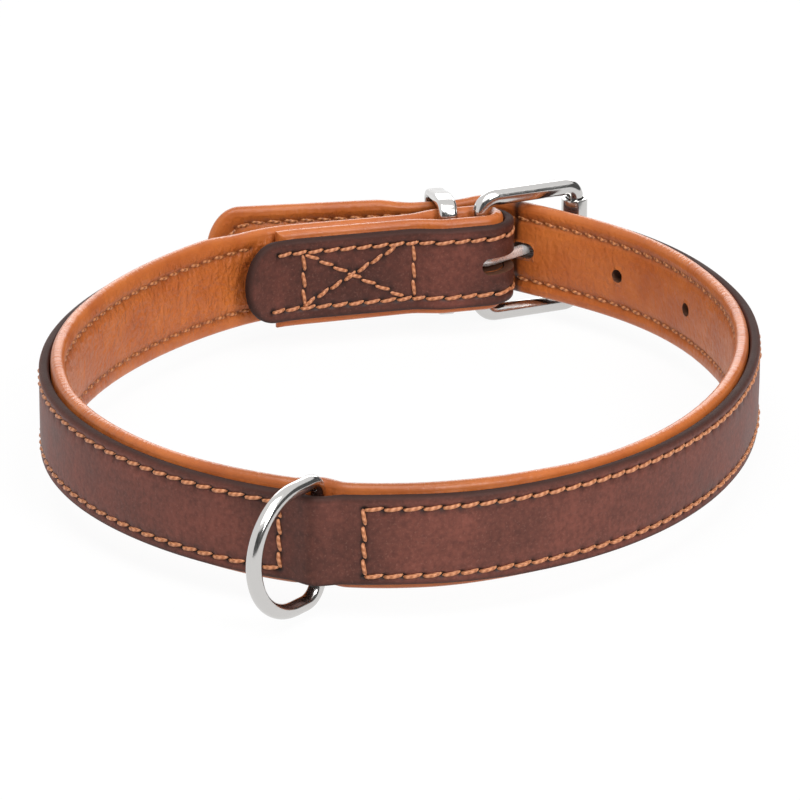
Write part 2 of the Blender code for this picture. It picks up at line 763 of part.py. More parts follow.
def buckle():
    """Frame, roller and prong, all drawn from the heel bar's axis."""
    axis = joint_empty("buckle_axis", (HEEL.x, HEEL.y, MID_HEIGHT - BUCKLE_DROP), FRAME_TURN)
    corners = [Vector((x, 0.0, z)) for x, z in ((0.0, SIDE_BAR_Z), (0.0, -SIDE_BAR_Z),
                                                (BUCKLE_REACH, -SIDE_BAR_Z), (BUCKLE_REACH, SIDE_BAR_Z))]
    bends = [HEEL_CORNER] * 2 + [ROLLER_CORNER] * 2
    frame = wire("buckle_frame", rounded_loop(corners, bends), BAR_R, cyclic=True, resolution=3)
    add_part(hang(frame, axis), STEEL)

    roller_axis = joint_empty("roller_axis", (BUCKLE_REACH, 0.0, 0.0), parent=axis)
    half = SIDE_BAR_Z - ROLLER_CORNER - ROLLER_PLAY
    rim = ROLLER_WALL * 0.3
    profile = [(ROLLER_R - rim, half), (ROLLER_R, half - rim), (ROLLER_R, -half + rim), (ROLLER_R - rim, -half),
               (ROLLER_INSIDE, -half), (ROLLER_INSIDE, half)]
    mesh = bpy.data.meshes.new("buckle_roller")
    count = len(profile)
    mesh.from_pydata([(x, 0.0, z) for x, z in profile], [(i, (i + 1) % count) for i in range(count)], [])
    roller = bpy.data.objects.new("buckle_roller", mesh)
    screw = roller.modifiers.new("turn", "SCREW")
    screw.steps = screw.render_steps = 24
    screw.use_merge_vertices = True
    screw.merge_threshold = 0.00001
    add_part(hang(roller, roller_axis), STEEL)

    prong_axis = joint_empty("prong_axis", (0.0, 0.0, BUCKLE_DROP), PRONG_LEAN, parent=axis)
    steps = 18
    wrap = [PRONG_LOOP * polar(-math.pi / 2 - PRONG_WRAP * (1 - k / steps)) for k in range(steps + 1)]
    shank = BUCKLE_REACH * math.cos(PRONG_LEAN)
    reach = [shank * 0.5, shank, shank + PRONG_PAST_ROLLER * 0.6, shank + PRONG_PAST_ROLLER]
    line = [(p.x, p.y, 0.0) for p in wrap] + [(x, -PRONG_LOOP, 0.0) for x in reach]
    radii = [1.0] * (len(line) - 1) + [PRONG_TIP_TAPER]
    prong = wire("buckle_prong", line, PRONG_R, radii=radii)
    add_part(hang(prong, prong_axis), STEEL)


def keeper():
    """Flat steel band round the tail and the main strap, caught by the fold."""
    half = (LINING_WIDTH + KEEPER_PLAY + KEEPER_THICK) / 2
    tail_face = (TAIL_INSIDE + LINING_THICK + PLY_GAP + OUTER_THICK) / math.cos(TAIL_SPLAY)
    far_edge = KEEPER_FROM_BAR + KEEPER_WIDTH / 2
    depth = tail_face + far_edge * math.tan(TAIL_SPLAY) + (KEEPER_PLAY + KEEPER_THICK) / 2
    corners = [Vector(v) for v in ((0.0, half), (0.0, -half), (depth, -half), (depth, half))]
    section = slab_section(KEEPER_WIDTH, KEEPER_THICK, KEEPER_EDGE_ROUND, 3)
    band = sweep("keeper_loop", rounded_loop(corners, [KEEPER_CORNER] * 4), section, 0.0, True)
    band.matrix_world = Matrix(((0, 0, 1, 0), (1, 0, 0, 0), (0, 1, 0, 0), (0, 0, 0, 1)))
    axis = joint_empty("keeper_axis", (HEEL.x - KEEPER_FROM_BAR, HEEL.y, MID_HEIGHT), KEEPER_TURN)
    return add_part(hang(band, axis), STEEL)


def main():
    holes, slot, seat = all_cutters()
    outer_strap(holes, slot)
    lining(holes, seat)
    padding(holes, seat)
    seam_threads()
    dring()
    buckle()
    keeper()


main()
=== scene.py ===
"""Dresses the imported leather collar: two plies of leather, stitching and fittings.

The dark strap, the padded lining, the stitches and the polished steel are drawn
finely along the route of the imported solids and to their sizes, but for the small
departures listed below. Each piece rides on the body that carries it.
"""
import math

import bmesh
import bpy
import numpy as np
from mathutils import Matrix, Vector, noise


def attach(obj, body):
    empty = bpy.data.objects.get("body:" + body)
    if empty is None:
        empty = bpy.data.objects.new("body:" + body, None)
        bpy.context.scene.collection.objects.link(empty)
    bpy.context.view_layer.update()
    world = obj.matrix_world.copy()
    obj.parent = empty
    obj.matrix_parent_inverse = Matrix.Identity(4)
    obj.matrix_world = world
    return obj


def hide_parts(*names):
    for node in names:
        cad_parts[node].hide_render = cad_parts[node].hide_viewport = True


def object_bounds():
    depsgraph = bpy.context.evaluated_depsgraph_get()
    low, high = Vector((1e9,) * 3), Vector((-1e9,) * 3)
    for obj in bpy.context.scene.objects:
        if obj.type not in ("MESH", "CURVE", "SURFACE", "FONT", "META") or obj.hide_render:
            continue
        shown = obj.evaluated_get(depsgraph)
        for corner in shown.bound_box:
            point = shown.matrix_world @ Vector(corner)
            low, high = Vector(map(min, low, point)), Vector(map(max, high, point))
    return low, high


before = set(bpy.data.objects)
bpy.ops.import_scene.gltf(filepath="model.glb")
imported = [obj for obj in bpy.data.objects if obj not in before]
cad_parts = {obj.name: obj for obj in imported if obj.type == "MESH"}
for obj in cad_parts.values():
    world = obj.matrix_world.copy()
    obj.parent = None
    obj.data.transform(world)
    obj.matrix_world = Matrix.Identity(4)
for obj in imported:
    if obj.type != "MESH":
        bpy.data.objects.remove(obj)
CAD_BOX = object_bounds()

bl_info = {
    "name": "Leather Buckle Collar",
    "version": (1, 0, 0),
    "blender": (4, 5, 0),
    "location": "3D View > Sidebar > Collar",
    "description": "Builds a two-ply leather buckle collar round its packed frame",
    "category": "Add Mesh",
}

MM = 0.001
SAME_POINT = 1e-7

# Plies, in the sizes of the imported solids
LINING_WIDTH = 20.0 * MM
LINING_THICK = 2.7 * MM
OUTER_WIDTH = 17.5 * MM
OUTER_THICK = 2.0 * MM
PLY_GAP = 0.3 * MM
WIRE_PLAY = 0.3 * MM
TAIL_CLEAR = 1.68 * MM

# Shape of the loop in plan
HEEL_PLAN = (34.8 * MM, 69.6 * MM)
LEFT_PLAN = (-70.9 * MM, -7.3 * MM)
FRONT_PLAN = (-13.2 * MM, -75.5 * MM)
RIGHT_PLAN = (70.5 * MM, 13.0 * MM)
PLAN_CENTRE = (-0.2 * MM, 3.8 * MM)
LEFT_FULLNESS = (0.20, 0.62)
FRONT_LEFT_FULLNESS = (0.515, 0.50)
FRONT_RIGHT_FULLNESS = (0.68, 0.37)
RIGHT_FULLNESS = (0.45, 0.32)

# Folded end, tail and seams
TAB_LENGTH = 55.8 * MM
TAB_ROUND = 7.6 * MM
RETURN_LINING_LENGTH = 46.9 * MM
CLOSURE_STRAIGHT = 42.0 * MM
GAP_SHUT_AT = 16.5 * MM
GAP_OPEN_AT = 8.0 * MM
BOX_START = 15.7 * MM
BOX_LENGTH = 23.7 * MM
TAIL_RISE = math.radians(51.0)
TAIL_SPLAY = math.radians(6.0)
TAIL_STRAIGHT = 8.0 * MM
TAIL_PAST_PRONG = 70.6 * MM
TAIL_ROUND = 7.0 * MM
HOLE_SPACING = 25.0 * MM
HOLE_RADIUS = 1.4 * MM
HOLES_EACH_WAY = 2
SEAM_Z = 6.6 * MM
SEAM_INSET = 2.15 * MM
TAB_SEAM_Z = 6.05 * MM
ROWS_PAST_BOX = 6.0 * MM
ROWS_SPREAD_BY = 6.0 * MM
LOWER_ROW_LONGER = 1.6 * MM
BOBBIN_UNDER_TAB = 5.0 * MM
BOBBIN_SUNK = 0.12 * MM
BOX_NARROWER = 0.4 * MM
CROSS_FALLING = (-0.4 * MM, 2.3 * MM)
CROSS_RISING = (3.8 * MM, 0.2 * MM)

# Buckle, keeper and D-ring
BAR_R = 1.7 * MM
SIDE_BAR_Z = 12.7 * MM
BUCKLE_REACH = 21.6 * MM
HEEL_CORNER = 3.6 * MM
ROLLER_CORNER = 2.3 * MM
BUCKLE_DROP = 0.7 * MM
FRAME_TURN = math.radians(9.0)
ROLLER_PLAY = 0.3 * MM
ROLLER_WALL = 0.7 * MM
ROLLER_LIP = 0.25 * MM
PRONG_R = 1.1 * MM
PRONG_WRAP = math.radians(275.0)
PRONG_PAST_ROLLER = 3.2 * MM
PRONG_POINT = 4.0 * MM
PRONG_THINNED = 0.45
SLOT_HEIGHT = 3.6 * MM
SLOT_PAST_BAR = 1.5 * MM
SLOT_PLAY = 0.4 * MM
SLOT_DISC_PAST = 0.3 * MM
PUNCH_DEPTH = 9.0 * MM
KEEPER_WIDTH = 3.9 * MM
KEEPER_THICK = 2.4 * MM
KEEPER_EDGE_ROUND = 0.9 * MM
KEEPER_FROM_BAR = 7.0 * MM
KEEPER_TURN = math.radians(-5.0)
KEEPER_CORNER = 2.4 * MM
KEEPER_PLAY = 1.1 * MM
DRING_WIRE = 2.9 * MM
DRING_INSIDE = 20.4 * MM
DRING_REACH = 18.5 * MM
DRING_CORNER = 2.6 * MM
DRING_SWING = math.radians(-23.2)
DRING_DROP = 0.4 * MM
DRING_POCKET = 15.5 * MM
BULGE_HALF = 5.4 * MM
POCKET_FROM_FRONT = -22.6 * MM
DRING_OFF_MIDDLE = -1.0 * MM

# Small departures from the solids, to follow the photograph
DRAWN_RADIUS = 1.65 * MM
DRAWN_AHEAD = 1.5 * MM
DRAWN_BACK = 0.7 * MM
FRONT_LIFT = 0.2 * MM
OUTER_LIFT = 0.3 * MM
LIFT_BEFORE_FRONT = 8.0 * MM
LIFT_REACH = 11.0 * MM
BUCKLE_LIFT = 0.6 * MM
KEEPER_DROP = 0.4 * MM
KEEPER_BEND = 1.5 * MM
KEEPER_LOW_LIFT = 0.5 * MM
KEEPER_THINNED = 0.35
KEEPER_BENT_FROM = 0.25
KEEPER_BENT_OVER = 0.7
DRING_LOW_CORNER = 4.0 * MM

# The same for the plies' edges, as shares of half a ply's width
STRAP_WIDER_BEHIND = 0.02
LINING_WIDER_BEHIND = 0.085
LINING_WIDER_FRONT = 0.03
LINING_NARROWER_RIGHT = 0.04
FOLD_EDGE_OUT = 0.05
FOLD_END_OUT = 0.04
RIM_PINCHED = 0.1

# Where the keeper pinches the tail's upper rim
PINCH_PAST_KEEPER = 0.7 * MM
PINCH_HALF = 3.4 * MM
PINCH_FADE = 9.0 * MM

# Bends of the loop, where the lining's rim is gathered
BEND_HALF = 15.0 * MM
BEND_FADE = 30.0 * MM

# Marks in the leather: widths of seam grooves, needle holes, worn edges and the rim's darker band across the
# front
OUTER_GROOVE = 0.75 * MM
OUTER_NEEDLE = 0.6 * MM
OUTER_BURNISH = 1.15 * MM
LINING_GROOVE = 0.95 * MM
LINING_NEEDLE = 0.5 * MM
LINING_RIM = 1.6 * MM
LINING_FRONT_DARK = 3.0 * MM

# Spacing of points along the route, the plies and the wires
ROUTE_STEP = 0.25 * MM
PLY_STEP = 0.5 * MM
WIRE_STEP = 0.8 * MM

# Edges sharper than these are drawn sharp
PLY_SHARP = math.radians(60.0)
THREAD_SHARP = math.radians(70.0)
WIRE_SHARP = math.radians(50.0)
ROLLER_SHARP = math.radians(30.0)

# Searches for a place past the fold start here
PAST_FOLD = 60.0 * MM

# Camera, in the photograph's frame of 800 by 800 pixels
IMAGE_SIDE = 800.0
CAMERA_DISTANCE = 1.102
CAMERA_FOCAL_PIXELS = 5641.0
CAMERA_RISE = math.radians(21.0)
CAMERA_SWING = math.radians(-15.3)
CAMERA_ROLL = math.radians(0.26)
IMAGE_CENTRE = (406.5, 387.45)
SENSOR = 36.0

# Stage, in metres, and the strength of its plain white
FLOOR_HALF = 3.0
SCREEN_FROM_MIDDLE = 1.7
SCREEN_FOOT = 0.02
SCREEN_HEIGHT = 1.25
PAPER_GLOW = 0.93
SURROUND_LIGHT = 0.36

# Worked out from the sizes above
FOLD_LINE = BAR_R + WIRE_PLAY + LINING_THICK + PLY_GAP / 2
FOLD_OUTSIDE = FOLD_LINE + PLY_GAP / 2 + OUTER_THICK
BOX_LINE = PLY_GAP + LINING_THICK
TAIL_INSIDE = FOLD_OUTSIDE + TAIL_CLEAR
TAIL_LINE = TAIL_INSIDE + LINING_THICK + PLY_GAP / 2
PROUD = (LINING_WIDTH - OUTER_WIDTH) / 2
OUTER_FACE = PLY_GAP / 2 + OUTER_THICK
INNER_FACE = -(PLY_GAP / 2 + LINING_THICK)
MID_HEIGHT = SIDE_BAR_Z + BAR_R + BUCKLE_DROP
ROLLER_R = BAR_R + ROLLER_PLAY + ROLLER_WALL
PRONG_LOOP = BAR_R + WIRE_PLAY + PRONG_R
PRONG_LEAN = math.asin((PRONG_LOOP + ROLLER_R + WIRE_PLAY + PRONG_R) / BUCKLE_REACH)
DRING_BUMP = (DRING_WIRE + 2 * WIRE_PLAY - PLY_GAP) / 2
UP = np.array([0.0, 0.0, 1.0])


# Route of the strap


def polar(angle):
    return np.stack([np.cos(angle), np.sin(angle)], -1)


def plan(point):
    """A point of the loop's plan, measured from the part's own origin."""
    return np.array(point) - np.array(PLAN_CENTRE)


def ease(t):
    """Smooth step from 0 to 1."""
    return 0.5 - 0.5 * np.cos(np.pi * np.clip(t, 0.0, 1.0))


def hump(distance, reach):
    """Bell curve, 1 in its middle."""
    return np.exp(-((distance / reach) ** 2))


def fading(distance, reach):
    """Falls evenly from 1 to 0 over reach."""
    return np.clip(1.0 - distance / reach, 0.0, 1.0)


def between(s, start, rise, end, fall):
    """Share of a stretch of the strap: eased in after start, and out before end."""
    return ease((s - start) / rise) * ease((end - s) / fall)


def bezier(p0, p1, p2, p3, count=240):
    t = np.linspace(0.0, 1.0, count + 1)[1:, None]
    u = 1.0 - t
    return u**3 * p0 + 3 * u * u * t * p1 + 3 * u * t * t * p2 + t**3 * p3


def quarter(start, end, leave, arrive, fullness):
    """A quarter of the loop; fullness is each handle's share of its run."""
    leave, arrive = np.array(leave), np.array(arrive)
    run = end - start
    out_handle = leave * abs(run @ leave) * fullness[0]
    in_handle = arrive * abs(run @ arrive) * fullness[1]
    return bezier(start, start + out_handle, end - in_handle, end)


class Line:
    """A level line, read by the length along it."""

    def __init__(self, points):
        step = np.linalg.norm(np.diff(points, axis=0), axis=1)
        self.points = points[np.r_[True, step > SAME_POINT]]
        step = np.linalg.norm(np.diff(self.points, axis=0), axis=1)
        self.length = np.r_[0.0, np.cumsum(step)]
        tangent = np.gradient(self.points, self.length, axis=0)
        self.out = np.stack([tangent[:, 1], -tangent[:, 0]], 1)

    def read(self, values, s):
        return np.stack([np.interp(s, self.length, values[:, k]) for k in (0, 1)], -1)

    def outward(self, s):
        n = self.read(self.out, s)
        return n / np.linalg.norm(n, axis=-1, keepdims=True)

    def at(self, s, offset=0.0):
        offset = np.asarray(offset)[..., None]
        return self.read(self.points, s) + self.outward(s) * offset

    def nearest(self, point, start=0.0):
        """Length along the line where it passes closest to a point."""
        miss = np.linalg.norm(self.points - point, axis=1) + (self.length < start)
        return self.length[int(np.argmin(miss))]


HEEL = plan(HEEL_PLAN)


def closure_offset(distance):
    """Half the spread of the two plies at a distance left of the heel bar."""
    shut = ease((distance - GAP_OPEN_AT) / (GAP_SHUT_AT - GAP_OPEN_AT))
    return FOLD_LINE + (BOX_LINE - FOLD_LINE) * shut


def eased(line, centres, reach=14.0 * MM, width=3.0 * MM):
    """The line with its sharp bends at the given places drawn out a little."""
    s = np.arange(0.0, line.length[-1], ROUTE_STEP)
    points = line.at(s)
    spread = np.arange(-4 * width, 4 * width + ROUTE_STEP / 2, ROUTE_STEP)
    kernel = np.exp(-0.5 * (spread / width) ** 2)
    kernel /= kernel.sum()
    pad = len(spread) // 2
    padded = np.pad(points, ((pad, pad), (0, 0)), mode="reflect", reflect_type="odd")
    smooth = np.stack([np.convolve(padded[:, k], kernel, "valid") for k in (0, 1)], 1)
    share = np.max([1.0 - ease(np.abs(s - c) / reach) for c in centres], axis=0)[:, None]
    return Line(points + (smooth - points) * share)


def strap_route():
    """The line between the two plies, from the tab's end to the tail's tip."""
    step = ROUTE_STEP
    left, front, right = plan(LEFT_PLAN), plan(FRONT_PLAN), plan(RIGHT_PLAN)
    straight_end = HEEL + np.array([-CLOSURE_STRAIGHT, BOX_LINE])
    left_bend = quarter(straight_end, left, (-1, 0), (0, -1), LEFT_FULLNESS)
    under = Line(np.vstack([straight_end, left_bend]))
    past = np.arange(TAB_LENGTH - CLOSURE_STRAIGHT, step / 2, -step)
    distance = np.linspace(CLOSURE_STRAIGHT, 0.0, 168)
    spread = closure_offset(distance)
    tab = HEEL + np.stack([-distance, -spread], 1)
    back = HEEL + np.stack([-distance, spread], 1)[::-1]
    fold = HEEL + FOLD_LINE * polar(np.linspace(-np.pi / 2, np.pi / 2, 62))
    away = -polar(np.array(-TAIL_RISE))
    arrive = HEEL + TAIL_LINE * polar(np.array(np.pi / 2 - TAIL_RISE)) - away * TAIL_STRAIGHT
    reach = np.linalg.norm(arrive - right)
    rise = bezier(right, right + np.array([0.0, reach * RIGHT_FULLNESS[0]]),
                  arrive - away * reach * RIGHT_FULLNESS[1], arrive)
    straight = arrive + away * np.linspace(0.0, TAIL_STRAIGHT, 32)[1:, None]
    over = HEEL + TAIL_LINE * polar(np.linspace(np.pi / 2 - TAIL_RISE, np.pi / 2 - TAIL_SPLAY, 60)[1:])
    tail_steps = np.arange(step, TAIL_PAST_PRONG + step, step)[:, None]
    tail = over[-1] - polar(np.array(-TAIL_SPLAY)) * tail_steps
    tab_bend = under.at(past, -2 * BOX_LINE)
    line = Line(np.vstack([
        tab_bend, tab, fold, back, left_bend,
        quarter(left, front, (0, -1), (1, 0), FRONT_LEFT_FULLNESS),
        quarter(front, right, (1, 0), (0, 1), FRONT_RIGHT_FULLNESS),
        rise, straight, over, tail]))
    return eased(line, (line.nearest(tab[0]), line.nearest(straight_end, PAST_FOLD)))


ROUTE = strap_route()
TAB_HEEL = ROUTE.nearest(HEEL - np.array([0.0, FOLD_LINE]))
BACK_HEEL = ROUTE.nearest(HEEL + np.array([0.0, FOLD_LINE]))
LEFT_AT = ROUTE.nearest(plan(LEFT_PLAN), PAST_FOLD)
FRONT_AT = ROUTE.nearest(plan(FRONT_PLAN))
RIGHT_AT = ROUTE.nearest(plan(RIGHT_PLAN), PAST_FOLD)
POCKET_AT = FRONT_AT + POCKET_FROM_FRONT
DRING_AT = POCKET_AT + DRING_OFF_MIDDLE


def find_prong_hole():
    """Length along the strap where the prong passes through the tail."""
    lean = FRAME_TURN + PRONG_LEAN
    start = HEEL + PRONG_LOOP * polar(np.array(lean - np.pi / 2))
    miss = np.abs((ROUTE.points - start) @ polar(np.array(lean + np.pi / 2)))
    miss[ROUTE.length < RIGHT_AT] = 1.0
    return ROUTE.length[int(np.argmin(miss))]


PRONG_HOLE = find_prong_hole()
TAIL_TIP = PRONG_HOLE + TAIL_PAST_PRONG
RETURN_LINING_END = TAB_LENGTH - RETURN_LINING_LENGTH


def dring_bump(s):
    """How far each ply gives way round the D-ring's bar."""
    return DRING_BUMP * (1.0 - ease(np.abs(s - DRING_AT) / BULGE_HALF))


def by_ring(s):
    """Share of the stretch right of the D-ring, where the strap stands a hair higher."""
    return hump(s - FRONT_AT + LIFT_BEFORE_FRONT, LIFT_REACH)


def place(s, offset, z):
    """Points on or in the strap: along it, out from its middle line, and up."""
    s, offset, z = np.broadcast_arrays(s, offset, z)
    xy = ROUTE.at(s, offset)
    return np.concatenate([xy, (MID_HEIGHT + FRONT_LIFT * by_ring(s) + z)[..., None]], -1)


def on_tab(distance):
    return TAB_HEEL - distance


def on_back(distance):
    return BACK_HEEL + distance


# Seams, as lines in lengths along and across the strap


def tail_turn():
    """The seam's round end at the tail's tip."""
    angle = np.linspace(np.pi / 2, -np.pi / 2, 33)
    depth = TAIL_ROUND - PROUD
    tip = TAIL_TIP - PROUD - SEAM_INSET
    return np.stack([tip - depth * (1 - np.cos(angle)), SEAM_Z * np.sin(angle)], 1)


def needle_holes(legs, pitch):
    """Needle holes along a seam's legs, evenly spaced, with one at each corner."""
    found = [np.array(legs[0][:1])]
    for leg in legs:
        leg = np.array(leg)
        length = np.r_[0.0, np.cumsum(np.linalg.norm(np.diff(leg, axis=0), axis=1))]
        s = np.linspace(0.0, length[-1], max(1, round(length[-1] / pitch)) + 1)[1:]
        found.append(np.stack([np.interp(s, length, leg[:, k]) for k in (0, 1)], 1))
    return np.vstack(found)


def left_seam(start, drawn_in, pitch):
    """Two rows and the cross row left of the D-ring; on the tab the rows are closer."""
    end = POCKET_AT - DRING_POCKET / 2
    upper = [(start, SEAM_Z), (end, SEAM_Z)]
    if drawn_in:
        spread = on_back(ROWS_SPREAD_BY)
        upper = [(start, TAB_SEAM_Z), (TAB_HEEL, TAB_SEAM_Z), (spread, SEAM_Z), (end, SEAM_Z)]
    lower = [(s, -z) for s, z in reversed(upper)]
    if drawn_in:
        lower[-1] = (start - LOWER_ROW_LONGER, -TAB_SEAM_Z)
    return [needle_holes([upper, [upper[-1], lower[0]], lower], pitch)]


def right_seam(pitch):
    """Closed row from the D-ring's pocket round the tail's tip and back."""
    start = POCKET_AT + DRING_POCKET / 2
    tip = tail_turn()
    low, high = (start, -SEAM_Z), (start, SEAM_Z)
    return [needle_holes([[low, high], [high, tip[0]], tip, [tip[-1], low]], pitch)]


def box_seams(along, pitch):
    """Two short rows and a cross that sew the folded end down."""
    near, far = BOX_START, BOX_START + BOX_LENGTH
    low = TAB_SEAM_Z - BOX_NARROWER
    rows = [(far, far), (near, near), (far + CROSS_FALLING[0], near + CROSS_FALLING[1]),
            (near + CROSS_RISING[0], far + CROSS_RISING[1])]
    return [needle_holes([[(along(top), low), (along(foot), -low)]], pitch) for top, foot in rows]


def seam_runs(pitch):
    """Needle holes of each thread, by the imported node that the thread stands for."""
    rows_start = on_tab(BOX_START + BOX_LENGTH + ROWS_PAST_BOX)
    under_tab = on_back(TAB_LENGTH - BOBBIN_UNDER_TAB)
    return {
        "left_seam_thread": left_seam(rows_start, True, pitch),
        "left_seam_bobbin_thread": left_seam(under_tab, False, pitch),
        "right_seam_thread": right_seam(pitch),
        "right_seam_bobbin_thread": right_seam(pitch),
        "box_stitch_thread": box_seams(on_tab, pitch),
        "box_stitch_bobbin_thread": box_seams(on_back, pitch),
    }


OUTER_RUNS = ("left_seam_thread", "right_seam_thread", "box_stitch_thread", "box_stitch_bobbin_thread")
INNER_RUNS = ("left_seam_bobbin_thread", "right_seam_bobbin_thread")


def ply_runs(names, pitch):
    """Needle holes of all the threads that pass through one ply's face."""
    found = seam_runs(pitch)
    return [run for name in names for run in found[name]]


# Mesh helpers


def new_object(name, mesh):
    thing = bpy.data.objects.new(name, mesh)
    bpy.context.scene.collection.objects.link(thing)
    return thing


def tidy_mesh(mesh, sharp):
    """Faces outwards, doubles merged, smooth with sharp edges past an angle."""
    bm = bmesh.new()
    bm.from_mesh(mesh)
    bmesh.ops.remove_doubles(bm, verts=bm.verts, dist=SAME_POINT)
    bmesh.ops.recalc_face_normals(bm, faces=bm.faces)
    bm.to_mesh(mesh)
    bm.free()
    mesh.shade_smooth()
    mesh.set_sharp_from_angle(angle=sharp)


def mesh_from(name, points, faces, sharp=WIRE_SHARP):
    mesh = bpy.data.meshes.new(name)
    mesh.from_pydata(points.tolist(), [], [list(f) for f in faces])
    tidy_mesh(mesh, sharp)
    return mesh


def baked(thing):
    """Turn a piece with live modifiers into a plain mesh."""
    bpy.context.view_layer.update()
    depsgraph = bpy.context.evaluated_depsgraph_get()
    mesh = bpy.data.meshes.new_from_object(thing.evaluated_get(depsgraph))
    thing.modifiers.clear()
    mesh.name = thing.name
    thing.data = mesh


def grid_faces(rows, columns, close_rows, close_columns):
    """Quads over a grid of points, which may run round in either direction."""
    i = np.arange(rows if close_rows else rows - 1)[:, None]
    j = np.arange(columns if close_columns else columns - 1)[None]
    i2, j2 = (i + 1) % rows, (j + 1) % columns
    quads = np.stack([i * columns + j, i * columns + j2, i2 * columns + j2, i2 * columns + j], -1)
    return quads.reshape(-1, 4)


def skin(name, face, back, s, z, marks):
    """Closed ply from its two faces, with lengths as its map and marks as attributes."""
    rows, columns = s.shape
    ring = np.concatenate([face, back[:, ::-1]], 1)
    quads = grid_faces(rows, 2 * columns, False, True)
    j = np.arange(columns - 1)
    cap = np.stack([j, j + 1, 2 * columns - 2 - j, 2 * columns - 1 - j], 1)
    last = cap + (rows - 1) * 2 * columns
    mesh = bpy.data.meshes.new(name)
    mesh.from_pydata(ring.reshape(-1, 3).tolist(), [], np.vstack([quads, cap, last]).tolist())
    for title, values in marks.items():
        both = np.concatenate([values, values[:, ::-1]], 1).ravel()
        layer = mesh.attributes.new(title, "FLOAT", "POINT")
        layer.data.foreach_set("value", both.astype(np.float32))
    lengths = np.stack([s, z], -1)
    both = np.concatenate([lengths, lengths[:, ::-1]], 1).reshape(-1, 2)
    corner = np.empty(len(mesh.loops), np.int32)
    mesh.loops.foreach_get("vertex_index", corner)
    strap_map = mesh.uv_layers.new(name="strap_lengths")
    strap_map.uv.foreach_set("vector", both[corner].astype(np.float32).ravel())
    tidy_mesh(mesh, PLY_SHARP)
    return new_object(name, mesh)


def sweep(name, path, flat, section, closed=True, scale=None, thin=None):
    """Carry a section along a line in a plane square to flat; thin scales its first side only."""
    if closed:
        tangent = np.roll(path, -1, 0) - np.roll(path, 1, 0)
    else:
        tangent = np.gradient(path, axis=0)
    tangent /= np.linalg.norm(tangent, axis=1, keepdims=True)
    side = np.cross(flat, tangent)
    scale = np.ones(len(path)) if scale is None else scale
    side = side if thin is None else side * thin[:, None]
    level = np.asarray(flat)[None, None]
    arms = side[:, None] * section[None, :, :1] + level * section[None, :, 1:]
    points = path[:, None] + arms * scale[:, None, None]
    faces = grid_faces(len(path), len(section), closed, True).tolist()
    if not closed:
        faces.append(list(range(len(section))))
        faces.append(list(range((len(path) - 1) * len(section), len(path) * len(section))))
    return new_object(name, mesh_from(name, points.reshape(-1, 3), faces))


def round_section(radius, squareness=2.0, sides=28):
    """Wire section; above 2, squareness flattens its four sides."""
    t = np.linspace(0.0, 2 * np.pi, sides, endpoint=False)
    reach = (np.abs(np.cos(t)) ** squareness + np.abs(np.sin(t)) ** squareness) ** (-1 / squareness)
    return polar(t) * (radius * reach)[:, None]


def slab_section(width, thickness, rounding, steps=7):
    """Flat band section, thickness first, with rounded edges."""
    points = []
    for corner in range(4):
        cx = (thickness / 2 - rounding) * (1 if corner in (0, 3) else -1)
        cy = (width / 2 - rounding) * (1 if corner in (0, 1) else -1)
        angle = np.pi / 2 * (corner + np.linspace(0.0, 1.0, steps))
        points.append(np.array([cx, cy]) + rounding * polar(angle))
    return np.vstack(points)


def rounded_loop(corners, radii, steps=14):
    """Closed line through flat corners, each drawn as an arc, with even straights."""
    points = []
    count = len(corners)
    for i, corner in enumerate(corners):
        before = corners[i - 1] - corner
        after = corners[(i + 1) % count] - corner
        before = before / np.linalg.norm(before)
        after = after / np.linalg.norm(after)
        half = math.acos(np.clip(before @ after, -1.0, 1.0)) / 2
        reach = radii[i] / math.tan(half)
        middle = before + after
        centre = corner + middle / np.linalg.norm(middle) * radii[i] / math.sin(half)
        start, end = corner + before * reach - centre, corner + after * reach - centre
        sweep_angle = math.pi - 2 * half
        share = np.linspace(0.0, 1.0, steps + 1)[:, None]
        arm = (start * np.sin((1 - share) * sweep_angle) + end * np.sin(share * sweep_angle))
        points.append(centre + arm / math.sin(sweep_angle))
    return np.vstack(points)


def filled_in(path, step):
    """The same closed line with extra points along its long straights."""
    ends = np.vstack([path, path[:1]])
    found = []
    for a, b in zip(ends, ends[1:]):
        count = max(1, int(np.linalg.norm(b - a) / step))
        found.append(a + (b - a) * (np.arange(count) / count)[:, None])
    return np.vstack(found)


def prism(outline, origin, across, up, depth):
    """Closed prism, half its depth to each side of a flat outline."""
    axis = np.cross(across, up)
    near = -depth / 2
    base = origin + outline[:, :1] * across + outline[:, 1:] * up
    points = np.vstack([base + axis * near, base + axis * (near + depth)])
    count = len(outline)
    k = np.arange(count)
    sides = np.stack([k, (k + 1) % count, (k + 1) % count + count, k + count], 1).tolist()
    return points, sides + [k[::-1].tolist(), (k + count).tolist()]


def cutter(name, prisms, material):
    """One cutting tool from several prisms."""
    points, faces, start = [], [], 0
    for p, f in prisms:
        points.append(p)
        faces += [[i + start for i in face] for face in f]
        start += len(p)
    mesh = mesh_from(name, np.vstack(points), faces)
    mesh.materials.append(material)
    return new_object(name, mesh)


def punched(thing, cutters):
    """Cut a ply, leaving the raw edge's material on the walls of each cut."""
    for tool in cutters:
        cut = thing.modifiers.new(tool.name, "BOOLEAN")
        cut.operation = "DIFFERENCE"
        cut.solver = "EXACT"
        cut.material_mode = "TRANSFER"
        cut.object = tool
    baked(thing)
    for tool in cutters:
        bpy.data.objects.remove(tool, do_unlink=True)
    thing.data.set_sharp_from_angle(angle=PLY_SHARP)


